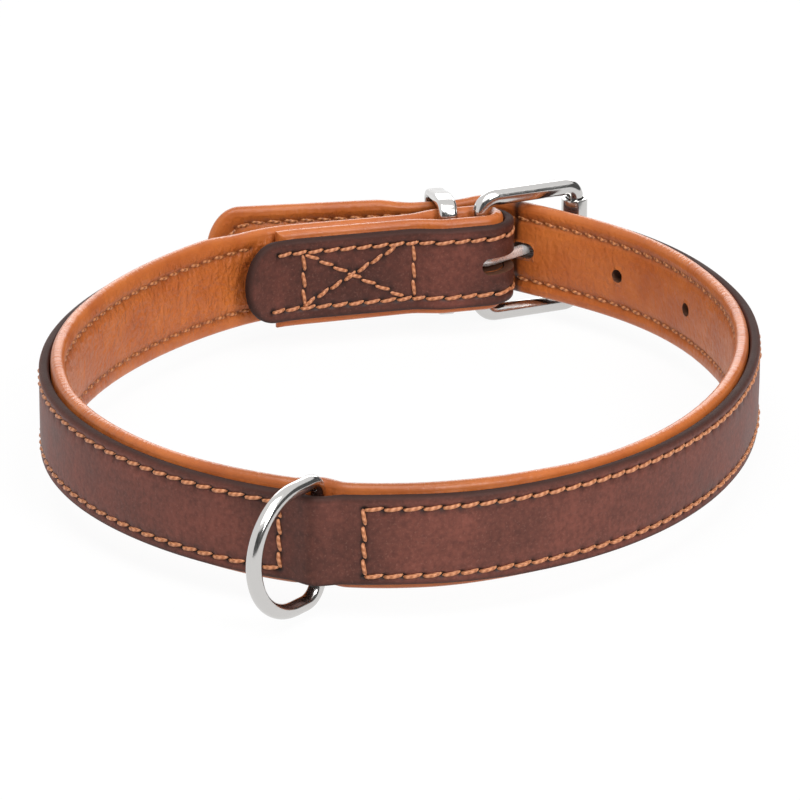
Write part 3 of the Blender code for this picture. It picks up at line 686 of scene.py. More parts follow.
def punch_holes(material):
    """Punches for the tail's holes, square to the strap; the prong has drawn its own long."""
    circle = polar(np.linspace(0.0, 2 * np.pi, 28, endpoint=False))
    drawn = np.where(circle[:, :1] > 0, (DRAWN_AHEAD, 0.0), (-DRAWN_BACK, 0.0))
    prisms = []
    for k in range(-HOLES_EACH_WAY, HOLES_EACH_WAY + 1):
        s = np.array(PRONG_HOLE + k * HOLE_SPACING)
        n = np.append(ROUTE.outward(s), 0.0)
        across = np.cross(UP, n)
        outline = HOLE_RADIUS * circle if k else DRAWN_RADIUS * circle + drawn
        prisms.append(prism(outline, place(s, 0.0, 0.0), across, UP, PUNCH_DEPTH))
    return cutter("hole_punches", prisms, material)


def slot_tools(past_bar, material):
    """Two cutters for the slot round the fold: a half disc, and its round near end."""
    radius = FOLD_OUTSIDE + TAIL_CLEAR / 4
    half = SLOT_HEIGHT / 2
    arc = radius * polar(np.linspace(-np.pi / 2, np.pi / 2, 40))
    disc = np.vstack([arc, [(-SLOT_DISC_PAST, radius), (-SLOT_DISC_PAST, -radius)]])
    origin = np.array([HEEL[0], HEEL[1], MID_HEIGHT])
    east, north = np.array([1.0, 0.0, 0.0]), np.array([0.0, 1.0, 0.0])
    round_end = np.array([half - past_bar, 0.0]) + half * polar(np.linspace(np.pi / 2, 1.5 * np.pi, 17))
    # The end reaches into the disc, so that no film of leather is left between them
    inner = max(SLOT_PLAY if past_bar < half else 0.0, half - past_bar)
    near_end = np.vstack([round_end, [(inner, -half), (inner, half)]])
    return [cutter("slot_disc", [prism(disc, origin, east, north, SLOT_HEIGHT)], material),
            cutter("slot_end", [prism(near_end, origin, east, UP, 2 * radius)], material)]


# Materials

WAX_SPECK = "#A9796A"
NEEDLE_HOLE_SHADE = "#100806"
RUBBED_RIM = "#DDA27C"
PAINTED_BEND_SHADE = "#3A1C10"
HIDE_DARK = "#3C2315"
HIDE_PALE = "#6B4026"
GREY_FELT = "#6E6E6E"
WHITE = (1.0, 1.0, 1.0, 1.0)


def colour(code):
    """sRGB hex to linear."""
    values = [int(code[i:i + 2], 16) / 255 for i in (1, 3, 5)]
    return tuple(v / 12.92 if v <= 0.04045 else ((v + 0.055) / 1.055) ** 2.4 for v in values)


def add_node(tree, kind, links=None, **settings):
    """Add a node, set it up, and feed its inputs with values or other sockets."""
    node = tree.nodes.new(kind)
    for key, value in settings.items():
        setattr(node, key, value)
    for key, value in (links or {}).items():
        if isinstance(value, bpy.types.NodeSocket):
            tree.links.new(value, node.inputs[key])
        else:
            node.inputs[key].default_value = value
    return node


def new_material(name):
    material = bpy.data.materials.new(name)
    material.use_nodes = True
    tree = material.node_tree
    return material, tree, tree.nodes["Principled BSDF"]


def per_mm(size):
    """Texture scale that gives a pattern of a size in millimetres."""
    return 1.0 / (size * MM)


def rgba(value):
    return (*value, 1.0)


def oiled_leather(colours):
    """Oiled pull-up hide: waxy and dark, paler where it has been bent or rubbed."""
    material, tree, shader = new_material("oiled_pull_up_leather")
    where = add_node(tree, "ShaderNodeTexCoord").outputs["Object"]
    cloud = add_node(tree, "ShaderNodeTexNoise", {
        "Vector": where, "Scale": per_mm(15.0), "Detail": 5.0, "Roughness": 0.62}).outputs[0]
    shade = add_node(tree, "ShaderNodeMapRange", {
        "Value": cloud, "From Min": 0.34, "From Max": 0.68}).outputs[0]
    handled = add_node(tree, "ShaderNodeAttribute", attribute_name="handled").outputs["Fac"]
    paled = add_node(tree, "ShaderNodeMath", {0: shade, 1: 0.6, 2: handled},
                     operation="MULTIPLY_ADD", use_clamp=True).outputs[0]
    base = add_node(tree, "ShaderNodeMix", {
        "Factor": paled, "A": rgba(colours.dark_leather), "B": rgba(colours.dark_leather_rubbed)},
        data_type="RGBA").outputs[2]
    # Fine flecks of dye in the grain
    fleck = add_node(tree, "ShaderNodeTexNoise", {
        "Vector": where, "Scale": per_mm(0.9), "Detail": 5.0}).outputs[0]
    fleck_tone = add_node(tree, "ShaderNodeMapRange", {
        "Value": fleck, "From Min": 0.3, "From Max": 0.7, "To Min": 0.76, "To Max": 1.2}).outputs[0]
    flecked = add_node(tree, "ShaderNodeMix", {"Factor": 1.0, "A": base, "B": fleck_tone},
                       data_type="RGBA", blend_type="MULTIPLY").outputs[2]
    # Wax and dust in the pores show as pale specks
    speck = add_node(tree, "ShaderNodeTexNoise", {
        "Vector": where, "Scale": per_mm(0.42), "Detail": 2.0}).outputs[0]
    speck_share = add_node(tree, "ShaderNodeMapRange", {
        "Value": speck, "From Min": 0.58, "From Max": 0.8, "To Max": 0.2}).outputs[0]
    specked = add_node(tree, "ShaderNodeMix", {
        "Factor": speck_share, "A": flecked, "B": rgba(colour(WAX_SPECK))}, data_type="RGBA").outputs[2]
    # Burnished edges are nearly black; the needle holes, and lightly the seam grooves, get a nearly black
    # painted shade
    edge = add_node(tree, "ShaderNodeAttribute", attribute_name="burnish").outputs["Fac"]
    edged = add_node(tree, "ShaderNodeMix", {
        "Factor": edge, "A": specked, "B": rgba(colours.dark_edge)}, data_type="RGBA").outputs[2]
    pit = add_node(tree, "ShaderNodeAttribute", attribute_name="needle").outputs["Fac"]
    pitted = add_node(tree, "ShaderNodeMix", {
        "Factor": pit, "A": edged, "B": rgba(colour(NEEDLE_HOLE_SHADE))}, data_type="RGBA").outputs[2]
    gloss = add_node(tree, "ShaderNodeMapRange", {
        "Value": cloud, "From Min": 0.3, "From Max": 0.7, "To Min": 0.44, "To Max": 0.58}).outputs[0]
    dull = add_node(tree, "ShaderNodeMath", {0: edge, 1: 0.26, 2: gloss},
                    operation="MULTIPLY_ADD").outputs[0]
    pore = add_node(tree, "ShaderNodeTexVoronoi", {
        "Vector": where, "Scale": per_mm(0.75)}).outputs["Distance"]
    grain = add_node(tree, "ShaderNodeMath", {0: pore, 1: fleck}, operation="ADD").outputs[0]
    # Cut fibres roughen the edge
    fibre = add_node(tree, "ShaderNodeMath", {0: speck, 1: edge}, operation="MULTIPLY").outputs[0]
    rough = add_node(tree, "ShaderNodeMath", {0: fibre, 1: 3.0, 2: grain},
                     operation="MULTIPLY_ADD").outputs[0]
    bump = add_node(tree, "ShaderNodeBump", {
        "Strength": 0.22, "Distance": 0.12 * MM, "Height": rough}).outputs[0]
    tree.links.new(pitted, shader.inputs["Base Color"])
    tree.links.new(dull, shader.inputs["Roughness"])
    tree.links.new(bump, shader.inputs["Normal"])
    shader.inputs["Specular IOR Level"].default_value = 0.27
    return material


def nappa_leather(colours):
    """Soft drum-dyed lining hide: even tan, pebbled grain and short creases."""
    material, tree, shader = new_material("nappa_lining_leather")
    where = add_node(tree, "ShaderNodeTexCoord").outputs["Object"]
    cloud = add_node(tree, "ShaderNodeTexNoise", {
        "Vector": where, "Scale": per_mm(11.0), "Detail": 4.0, "Roughness": 0.6}).outputs[0]
    shade = add_node(tree, "ShaderNodeMapRange", {
        "Value": cloud, "From Min": 0.32, "From Max": 0.68}).outputs[0]
    base = add_node(tree, "ShaderNodeMix", {
        "Factor": shade, "A": rgba(colours.tan_leather), "B": rgba(colours.tan_leather_worn)},
        data_type="RGBA").outputs[2]
    # Rolled rim is rubbed a little paler; the needle holes and seam grooves are darkened with painted shade,
    # and across the front the rim is drawn darker
    rim = add_node(tree, "ShaderNodeAttribute", attribute_name="burnish").outputs["Fac"]
    rim_share = add_node(tree, "ShaderNodeMath", {0: rim, 1: 0.06}, operation="MULTIPLY").outputs[0]
    rubbed = add_node(tree, "ShaderNodeMix", {
        "Factor": rim_share, "A": base, "B": rgba(colour(RUBBED_RIM))}, data_type="RGBA").outputs[2]
    pit = add_node(tree, "ShaderNodeAttribute", attribute_name="needle").outputs["Fac"]
    pitted = add_node(tree, "ShaderNodeMix", {
        "Factor": pit, "A": rubbed, "B": rgba(colours.tan_shade)}, data_type="RGBA").outputs[2]
    # Painted shade: the tail's lining is darkened where it bends away behind the fold over the buckle
    bent = add_node(tree, "ShaderNodeAttribute", attribute_name="crease").outputs["Fac"]
    bend_shaded = add_node(tree, "ShaderNodeMix", {
        "Factor": bent, "A": pitted, "B": rgba(colour(PAINTED_BEND_SHADE))}, data_type="RGBA").outputs[2]
    # Short creases run across the strap, over a soft pebble
    lengths = add_node(tree, "ShaderNodeUVMap", uv_map="strap_lengths").outputs[0]
    drawn = add_node(tree, "ShaderNodeMapping", {
        "Vector": lengths, "Scale": (per_mm(1.5), per_mm(3.4), 1.0)}).outputs[0]
    crease = add_node(tree, "ShaderNodeTexNoise", {
        "Vector": drawn, "Scale": 1.0, "Detail": 4.0, "Roughness": 0.55, "Distortion": 0.6}).outputs[0]
    pebble = add_node(tree, "ShaderNodeTexVoronoi", {"Vector": where, "Scale": per_mm(1.0)},
                      feature="SMOOTH_F1").outputs["Distance"]
    height = add_node(tree, "ShaderNodeMath", {0: crease, 1: 2.2, 2: pebble},
                      operation="MULTIPLY_ADD").outputs[0]
    # Stretched over the rim, the grain is pulled almost flat
    taut = add_node(tree, "ShaderNodeAttribute", attribute_name="taut").outputs["Fac"]
    flatten = add_node(tree, "ShaderNodeMapRange", {"Value": taut, "To Min": 1.0, "To Max": 0.15}).outputs[0]
    grain = add_node(tree, "ShaderNodeMath", {0: height, 1: flatten}, operation="MULTIPLY").outputs[0]
    # At the bends the rim is gathered into short pleats
    radial = add_node(tree, "ShaderNodeMapping", {
        "Vector": lengths, "Scale": (per_mm(0.8), per_mm(12.0), 1.0)}).outputs[0]
    pleat = add_node(tree, "ShaderNodeTexNoise", {"Vector": radial, "Scale": 1.0, "Detail": 2.0}).outputs[0]
    gathered = add_node(tree, "ShaderNodeAttribute", attribute_name="gathered").outputs["Fac"]
    pleated = add_node(tree, "ShaderNodeMath", {0: pleat, 1: gathered}, operation="MULTIPLY").outputs[0]
    relief = add_node(tree, "ShaderNodeMath", {0: pleated, 1: 0.7, 2: grain},
                      operation="MULTIPLY_ADD").outputs[0]
    bump = add_node(tree, "ShaderNodeBump", {
        "Strength": 1.0, "Distance": 0.38 * MM, "Height": relief}).outputs[0]
    gloss = add_node(tree, "ShaderNodeMapRange", {
        "Value": crease, "From Min": 0.3, "From Max": 0.7, "To Min": 0.36, "To Max": 0.5}).outputs[0]
    shine = add_node(tree, "ShaderNodeMath", {0: rim, 1: -0.15, 2: gloss},
                     operation="MULTIPLY_ADD").outputs[0]
    tree.links.new(bend_shaded, shader.inputs["Base Color"])
    tree.links.new(shine, shader.inputs["Roughness"])
    tree.links.new(bump, shader.inputs["Normal"])
    shader.inputs["Specular IOR Level"].default_value = 0.28
    shader.inputs["Coat Weight"].default_value = 0.07
    shader.inputs["Coat Roughness"].default_value = 0.2
    return material


def raw_leather_edge():
    """Wall of a punched hole: the undyed middle of the hide, fibrous and matt."""
    name = "raw_leather_edge"
    if name in bpy.data.materials:
        return bpy.data.materials[name]
    material, tree, shader = new_material(name)
    where = add_node(tree, "ShaderNodeTexCoord").outputs["Object"]
    fibre = add_node(tree, "ShaderNodeTexNoise", {
        "Vector": where, "Scale": per_mm(0.6), "Detail": 3.0}).outputs[0]
    tone = add_node(tree, "ShaderNodeMix", {
        "Factor": fibre, "A": rgba(colour(HIDE_DARK)), "B": rgba(colour(HIDE_PALE))},
        data_type="RGBA").outputs[2]
    bump = add_node(tree, "ShaderNodeBump", {
        "Strength": 0.4, "Distance": 0.1 * MM, "Height": fibre}).outputs[0]
    tree.links.new(tone, shader.inputs["Base Color"])
    tree.links.new(bump, shader.inputs["Normal"])
    shader.inputs["Roughness"].default_value = 0.8
    return material


def waxed_thread(name, crown_colour, shade_colour):
    """Waxed polyester cord: three plies twisted, with painted shade between the plies and their crowns
    paler, and a soft gleam.
    """
    material, tree, shader = new_material(name)
    along = add_node(tree, "ShaderNodeAttribute", attribute_name="strand_along").outputs["Fac"]
    around = add_node(tree, "ShaderNodeAttribute", attribute_name="strand_around").outputs["Fac"]
    # Twist is drawn at 1.1 mm a turn, coarser than the real cord, so that it shows
    turns = add_node(tree, "ShaderNodeMath", {0: along, 1: per_mm(1.1), 2: around},
                     operation="MULTIPLY_ADD").outputs[0]
    angle = add_node(tree, "ShaderNodeMath", {0: turns, 1: 2 * math.pi}, operation="MULTIPLY").outputs[0]
    wave = add_node(tree, "ShaderNodeMath", {0: angle}, operation="SINE").outputs[0]
    crown = add_node(tree, "ShaderNodeMapRange", {
        "Value": wave, "From Min": -1.0, "From Max": 1.0}).outputs[0]
    # Painted shade: darker between the plies, paler on their crowns
    base = add_node(tree, "ShaderNodeMix", {
        "Factor": crown, "A": rgba(shade_colour), "B": rgba(crown_colour)}, data_type="RGBA").outputs[2]
    bump = add_node(tree, "ShaderNodeBump", {
        "Strength": 0.5, "Distance": 0.12 * MM, "Height": crown}).outputs[0]
    tree.links.new(base, shader.inputs["Base Color"])
    tree.links.new(bump, shader.inputs["Normal"])
    shader.inputs["Roughness"].default_value = 0.5
    return material


def plated_steel(name, tint, haze_low, haze_high, metallic=1.0):
    """Nickel-plated steel, tumbled: a mirror whose haze depends on how long it was polished."""
    material, tree, shader = new_material(name)
    where = add_node(tree, "ShaderNodeTexCoord").outputs["Object"]
    haze = add_node(tree, "ShaderNodeTexNoise", {
        "Vector": where, "Scale": per_mm(1.6), "Detail": 5.0, "Roughness": 0.7}).outputs[0]
    gloss = add_node(tree, "ShaderNodeMapRange", {
        "Value": haze, "From Min": 0.3, "From Max": 0.7, "To Min": haze_low, "To Max": haze_high}).outputs[0]
    ripple = add_node(tree, "ShaderNodeTexNoise", {
        "Vector": where, "Scale": per_mm(4.0), "Detail": 1.0}).outputs[0]
    bump = add_node(tree, "ShaderNodeBump", {
        "Strength": 0.08, "Distance": 0.2 * MM, "Height": ripple}).outputs[0]
    tree.links.new(gloss, shader.inputs["Roughness"])
    tree.links.new(bump, shader.inputs["Normal"])
    shader.inputs["Base Color"].default_value = rgba(tint)
    shader.inputs["Metallic"].default_value = metallic
    return material


# Leather


def column_lines(half, near_edge, near_seam, middle):
    """Places across a ply, closer together at its edges and its seams."""
    inset = np.concatenate([near_edge, near_seam, np.linspace(near_seam[-1], half, middle + 1)[1:]])
    one = half - inset
    return np.concatenate([-one, one[-2::-1]])


def ply_grid(start, tip, half, columns, start_round, tip_round):
    """Lengths along and across a ply, and how far each point is from its outline.

    A ply whose start_round is 0 is cut off square there."""
    angle = np.linspace(math.radians(1.5), math.pi / 2, 22)
    tip_run = tip - tip_round + tip_round * np.cos(angle[::-1])
    body_end = tip - tip_round
    if start_round > 0:
        start_run = start + start_round - start_round * np.cos(angle)
        body_start = start + start_round
    else:
        start_run = start + np.array([0.0, 0.06, 0.2, 0.45, 0.9, 1.5]) * MM
        body_start = start_run[-1]
    count = round((body_end - body_start) / PLY_STEP)
    body = np.linspace(body_start, body_end, count + 1)[1:-1]
    s = np.concatenate([start_run, body, tip_run])
    into_tip = np.clip((s - body_end) / tip_round, 0.0, 0.9999)
    width = half * np.sqrt(1.0 - into_tip**2)
    into_start = np.zeros_like(s)
    if start_round > 0:
        into_start = np.clip((start + start_round - s) / start_round, 0.0, 0.9999)
        width *= np.sqrt(1.0 - into_start**2)
    z = width[:, None] / half * columns[None]
    s = np.repeat(s[:, None], len(columns), 1)
    depth = np.maximum(into_tip, into_start)[:, None]
    reach = np.where(into_tip > into_start, tip_round, max(start_round, 1e-6))[:, None]
    q = np.sqrt(depth**2 + (z / half) ** 2)
    slope = np.sqrt((depth / reach) ** 2 + (z / half**2) ** 2) / np.maximum(q, 1e-6)
    from_edge = np.maximum(1.0 - q, 0.0) / np.maximum(slope, 1e-3)
    if start_round <= 0:
        from_edge = np.minimum(from_edge, s - start)
    return s, z, from_edge


def rounded(from_edge, radius):
    """How far a face falls away as it rolls over its edge."""
    left = np.clip(radius - from_edge, 0.0, radius)
    return radius - np.sqrt(radius**2 - left**2)


def near_rows(s, low, high, reach):
    """The rows of a ply's grid that lie within reach of a stretch of its length."""
    first = np.searchsorted(s[:, 0], min(low, high) - reach)
    last = np.searchsorted(s[:, 0], max(low, high) + reach)
    return slice(first, last)


def pressed(s, z, runs, groove_width, needle_width):
    """Shares of a seam's groove, and of its needle holes, at each point of a ply."""
    groove = np.zeros_like(s)
    needle = np.zeros_like(s)
    for holes in runs:
        for a, b in zip(holes, holes[1:]):
            rows = near_rows(s, a[0], b[0], 3 * groove_width)
            p = np.stack([s[rows], z[rows]], -1)
            share = np.clip(((p - a) @ (b - a)) / ((b - a) @ (b - a)), 0.0, 1.0)
            gap = np.linalg.norm(p - a - share[..., None] * (b - a), axis=-1)
            groove[rows] = np.maximum(groove[rows], hump(gap, groove_width))
        for hole in holes:
            rows = near_rows(s, hole[0], hole[0], 3 * needle_width)
            gap = np.hypot(s[rows] - hole[0], z[rows] - hole[1])
            needle[rows] = np.maximum(needle[rows], hump(gap, needle_width))
    return groove, needle


def waviness(s, z, along, across, seed):
    """Slow unevenness of a hide, from -1 to 1."""
    flat = np.stack([s.ravel() / along, z.ravel() / across], 1)
    values = [noise.noise(Vector((x, y, seed))) for x, y in flat]
    return np.array(values).reshape(s.shape)


def handled_share(s):
    """How much the hide has paled: least on the folded end and beside the D-ring."""
    covered = ease((on_back(20.0 * MM) - s) / (20.0 * MM))
    beside_ring = hump(s - POCKET_AT, 16.0 * MM)
    creased = hump(s - on_tab(7.0 * MM), 5.0 * MM)
    return np.clip(0.3 - 0.5 * covered - 0.4 * beside_ring + 0.45 * creased, -0.4, 0.5)


def at_bend(s, middle):
    """Share of a bend of the loop: 1 at its middle, 0 well away from it."""
    return 1.0 - ease((np.abs(s - middle) - BEND_HALF) / BEND_FADE)


def keeper_pinch(s):
    """How much the keeper draws in the tail's upper rim, as a share, over all of its slide."""
    middle = ROUTE.nearest(HEEL + np.array([-KEEPER_FROM_BAR, TAIL_LINE]), PRONG_HOLE) + PINCH_PAST_KEEPER
    return RIM_PINCHED * (1.0 - ease((np.abs(s - middle) - PINCH_HALF) / PINCH_FADE))


def build_outer_strap(sizes, colours):
    """Dark strap: burnished edges, seams pressed in, holes punched through."""
    half = OUTER_WIDTH / 2
    near_edge = np.array([0.0, 0.08, 0.25, 0.5, 0.8, 1.2]) * MM
    near_seam = np.linspace(1.5, 2.8, 8) * MM
    columns = column_lines(half, near_edge, near_seam, middle=5)
    tip_round = TAIL_ROUND - PROUD / 2
    s, z, from_edge = ply_grid(0.0, TAIL_TIP - PROUD, half, columns, TAB_ROUND, tip_round)
    # Behind the left bend the strap stands a little wider; by the ring it stands a little higher
    behind = between(s, on_back(TAB_LENGTH - 8.0 * MM), 10.0 * MM, LEFT_AT - 4.0 * MM, 26.0 * MM)
    z = z * (1.0 + (STRAP_WIDER_BEHIND * behind - keeper_pinch(s)) * (z > 0)) + OUTER_LIFT * by_ring(s)
    runs = ply_runs(OUTER_RUNS, sizes.stitch_pitch)
    groove, needle = pressed(s, z, runs, OUTER_GROOVE, OUTER_NEEDLE)
    edge = rounded(from_edge, sizes.edge_round)
    bump = dring_bump(s)
    sunk = sizes.groove_depth * groove + sizes.needle_depth * needle
    uneven = 0.06 * MM * waviness(s, z, along=9.0 * MM, across=7.0 * MM, seed=3.0)
    inside_edge = np.clip(from_edge / (2.0 * MM), 0.0, 1.0)
    face = place(s, OUTER_FACE - edge - sunk + bump + uneven * inside_edge, z)
    back = place(s, PLY_GAP / 2 + 0.6 * edge + bump, z)
    # The needle mark is painted shade: it darkens the needle holes and, lightly, the seam grooves
    marks = {
        "burnish": fading(from_edge, OUTER_BURNISH),
        "needle": np.clip(needle * 1.5 + 0.15 * groove, 0.0, 1.0),
        "handled": handled_share(s),
    }
    strap = skin("dark_strap", face, back, s, z, marks)
    strap.data.materials.append(oiled_leather(colours))
    raw = raw_leather_edge()
    punched(strap, [punch_holes(raw)] + slot_tools(SLOT_PAST_BAR, raw))
    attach(strap, "collar")
    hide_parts("outer_strap")


def build_lining(sizes, colours):
    """Padded tan lining: crowned, drawn in at its seams, puckered on its rolled rim."""
    half = LINING_WIDTH / 2
    near_edge = np.array([0.0, 0.06, 0.2, 0.45, 0.8, 1.25, 1.8]) * MM
    near_seam = np.linspace(2.4, 4.5, 9) * MM
    columns = column_lines(half, near_edge, near_seam, middle=5)
    s, z, from_edge = ply_grid(RETURN_LINING_END, TAIL_TIP, half, columns, 0.0, TAIL_ROUND)
    # On the folded end the lining's lower edge stands further out
    folded = ease((BACK_HEEL - s) / (BACK_HEEL - TAB_HEEL))
    toward_end = ease((TAB_HEEL - s) / (TAB_HEEL - RETURN_LINING_END))
    lower = FOLD_EDGE_OUT + FOLD_END_OUT * toward_end
    z = z * (1.0 + np.where(z < 0, lower, 0.0) * folded)
    # Across the front, and behind the left bend, the rim rolls out further; on the right, less
    front = between(s, FRONT_AT - 60.0 * MM, 30.0 * MM, FRONT_AT + 22.0 * MM, 24.0 * MM)
    behind = between(s, on_back(TAB_LENGTH - 4.0 * MM), 12.0 * MM, LEFT_AT + 4.0 * MM, 16.0 * MM)
    right = between(s, FRONT_AT + 16.0 * MM, 16.0 * MM, PRONG_HOLE - 20.0 * MM, 60.0 * MM)
    upper = LINING_WIDER_BEHIND * behind - LINING_NARROWER_RIGHT * right - keeper_pinch(s)
    z = z * (1.0 + LINING_WIDER_FRONT * front + upper * (z > 0))
    runs = ply_runs(INNER_RUNS, sizes.stitch_pitch)
    groove, needle = pressed(s, z, runs, LINING_GROOVE, LINING_NEEDLE)
    hull = rounded(from_edge, LINING_THICK / 2)
    bump = dring_bump(s)

    free = between(s, on_back(TAB_LENGTH), 14.0 * MM, TAIL_TIP, 16.0 * MM)
    crown = sizes.lining_crown * np.clip(1.0 - (z / SEAM_Z) ** 2, 0.0, 1.0) * free
    # At the bends the rim outside the seams is drawn into small radial folds
    outside = np.clip((np.abs(z) - SEAM_Z) / (half - SEAM_Z), 0.0, 1.0)
    bend = np.maximum(at_bend(s, LEFT_AT), at_bend(s, RIGHT_AT))
    ripple = waviness(s, z, along=0.9 * MM, across=7.0 * MM, seed=11.0)
    fold = sizes.pucker * ripple * np.sin(np.pi * np.clip(outside * 1.15, 0.0, 1.0)) * bend
    # Drawn over the buckle, the tail is stretched smooth
    tight = 0.75 * ease((s - PRONG_HOLE + 75.0 * MM) / (30.0 * MM))
    dimple = 0.14 * MM * waviness(s, z, along=2.3 * MM, across=5.0 * MM, seed=5.0)
    soft = dimple * np.clip(from_edge / (1.0 * MM), 0.0, 1.0) * (1.0 - tight)
    sunk = sizes.lining_dip * groove + 0.35 * sizes.needle_depth * needle
    face = place(s, INNER_FACE + hull + sunk - crown - fold - soft - bump, z)
    back = place(s, -PLY_GAP / 2 - hull - bump, z)
    rim = fading(from_edge, LINING_RIM)
    # Across the front the rim is drawn darker, towards the seams' tan
    front_rim_darker = 0.45 * front * fading(from_edge, LINING_FRONT_DARK)
    # The needle mark is painted shade in the needle holes and along the seam grooves
    marks = {
        "burnish": rim,
        "needle": np.clip(0.75 * needle + 0.3 * groove + front_rim_darker, 0.0, 1.0),
        "taut": np.maximum(np.clip((3.0 * MM - from_edge) / (1.8 * MM), 0.0, 1.0), tight),
        "gathered": rim * bend,
        # Painted shade on the tail's lining just past the fold, where the fold's shadow falls
        "crease": hump(s - PRONG_HOLE - 2.3 * MM, 0.8 * MM),
    }
    lining = skin("padded_lining", face, back, s, z, marks)
    lining.data.materials.append(nappa_leather(colours))
    raw = raw_leather_edge()
    punched(lining, [punch_holes(raw)] + slot_tools(PRONG_LOOP + PRONG_R + SLOT_PLAY, raw))
    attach(lining, "collar")
    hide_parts("lining", "padding")


# Stitching


def stitch_tree():
    """Sets one arched stitch on each point, along its row and square to its face."""
    tree = bpy.data.node_groups.new("stitches_along_rows", "GeometryNodeTree")
    face = tree.interface
    face.new_socket("Geometry", in_out="INPUT", socket_type="NodeSocketGeometry")
    for name in ("Stitch Length", "Thread Radius", "Rise", "Sink"):
        face.new_socket(name, in_out="INPUT", socket_type="NodeSocketFloat")
    face.new_socket("Material", in_out="INPUT", socket_type="NodeSocketMaterial")
    face.new_socket("Geometry", in_out="OUTPUT", socket_type="NodeSocketGeometry")
    given = add_node(tree, "NodeGroupInput").outputs
    half = add_node(tree, "ShaderNodeMath", {0: given["Stitch Length"], 1: 0.5},
                    operation="MULTIPLY").outputs[0]
    back = add_node(tree, "ShaderNodeMath", {0: half, 1: -1.0}, operation="MULTIPLY").outputs[0]
    down = add_node(tree, "ShaderNodeMath", {0: given["Sink"], 1: -1.0}, operation="MULTIPLY").outputs[0]
    shoulder = add_node(tree, "ShaderNodeMath", {0: half, 1: 0.7}, operation="MULTIPLY").outputs[0]
    near = add_node(tree, "ShaderNodeMath", {0: shoulder, 1: -1.0}, operation="MULTIPLY").outputs[0]
    ends = [add_node(tree, "ShaderNodeCombineXYZ", {"X": x, "Z": z}).outputs[0]
            for x, z in ((back, down), (near, given["Rise"]), (shoulder, given["Rise"]), (half, down))]
    arch = add_node(tree, "GeometryNodeCurvePrimitiveBezierSegment", {
        "Resolution": 8, "Start": ends[0], "Start Handle": ends[1], "End Handle": ends[2], "End": ends[3]},
        mode="POSITION")
    arc = add_node(tree, "GeometryNodeResampleCurve", {"Curve": arch.outputs[0], "Count": 9}, mode="COUNT")
    share = add_node(tree, "GeometryNodeSplineParameter").outputs
    along = add_node(tree, "GeometryNodeStoreNamedAttribute", {
        "Geometry": arc.outputs[0], "Name": "strand_along", "Value": share["Length"]},
        data_type="FLOAT", domain="POINT")
    # Full in the middle, drawn thin where it dives into its needle hole
    centred = add_node(tree, "ShaderNodeMath", {0: share["Factor"], 1: 2.0, 2: -1.0},
                       operation="MULTIPLY_ADD").outputs[0]
    near_hole = add_node(tree, "ShaderNodeMath", {0: centred, 1: 4.0}, operation="POWER").outputs[0]
    fullness = add_node(tree, "ShaderNodeMath", {0: near_hole, 1: -0.4, 2: 1.0},
                        operation="MULTIPLY_ADD").outputs[0]
    drawn = add_node(tree, "GeometryNodeSetCurveRadius", {"Curve": along.outputs[0], "Radius": fullness})
    ring = add_node(tree, "GeometryNodeCurvePrimitiveCircle", {
        "Resolution": 7, "Radius": given["Thread Radius"]})
    around = add_node(tree, "GeometryNodeStoreNamedAttribute", {
        "Geometry": ring.outputs[0], "Name": "strand_around", "Value": share["Factor"]},
        data_type="FLOAT", domain="POINT")
    thread = add_node(tree, "GeometryNodeCurveToMesh", {
        "Curve": drawn.outputs[0], "Profile Curve": around.outputs[0], "Fill Caps": True, "Scale": fullness})
    out = add_node(tree, "GeometryNodeInputNamedAttribute", {"Name": "face_out"}, data_type="FLOAT_VECTOR")
    row = add_node(tree, "GeometryNodeInputNamedAttribute", {"Name": "row_along"}, data_type="FLOAT_VECTOR")
    facing = add_node(tree, "FunctionNodeAxesToRotation", {0: out.outputs[0], 1: row.outputs[0]},
                      primary_axis="Z", secondary_axis="X")
    stretch = add_node(tree, "GeometryNodeInputNamedAttribute", {"Name": "stretch"}, data_type="FLOAT")
    lift = add_node(tree, "GeometryNodeInputNamedAttribute", {"Name": "lift"}, data_type="FLOAT")
    scale = add_node(tree, "ShaderNodeCombineXYZ", {
        "X": stretch.outputs[0], "Y": 1.0, "Z": lift.outputs[0]})
    set_out = add_node(tree, "GeometryNodeInstanceOnPoints", {
        "Points": given["Geometry"], "Instance": thread.outputs[0],
        "Rotation": facing.outputs[0], "Scale": scale.outputs[0]})
    real = add_node(tree, "GeometryNodeRealizeInstances", {"Geometry": set_out.outputs[0]})
    smooth = add_node(tree, "GeometryNodeSetShadeSmooth", {"Geometry": real.outputs[0]})
    finished = add_node(tree, "GeometryNodeSetMaterial", {
        "Geometry": smooth.outputs[0], "Material": given["Material"]})
    add_node(tree, "NodeGroupOutput", {"Geometry": finished.outputs[0]})
    return tree


def stitch_points(runs, offset, facing, slant):
    """Middle, direction, facing and length of each stitch, slanted a little across its row."""
    middles, rows, outs, lengths = [], [], [], []
    for holes in runs:
        a, b = holes[:-1], holes[1:]
        step = b - a
        across = np.stack([-step[:, 1], step[:, 0]], 1) / np.linalg.norm(step, axis=1)[:, None]
        a, b = a - across * slant, b + across * slant
        ends = [place(e[:, 0], offset + facing * dring_bump(e[:, 0]), e[:, 1]) for e in (a, b)]
        middle = (a + b) / 2
        middles.append(place(middle[:, 0], offset + facing * dring_bump(middle[:, 0]), middle[:, 1]))
        chord = ends[1] - ends[0]
        rows.append(chord)
        lengths.append(np.linalg.norm(chord, axis=1))
        normal = ROUTE.outward(middle[:, 0]) * facing
        outs.append(np.concatenate([normal, np.zeros((len(normal), 1))], 1))
    return [np.concatenate(v) for v in (middles, rows, outs, lengths)]


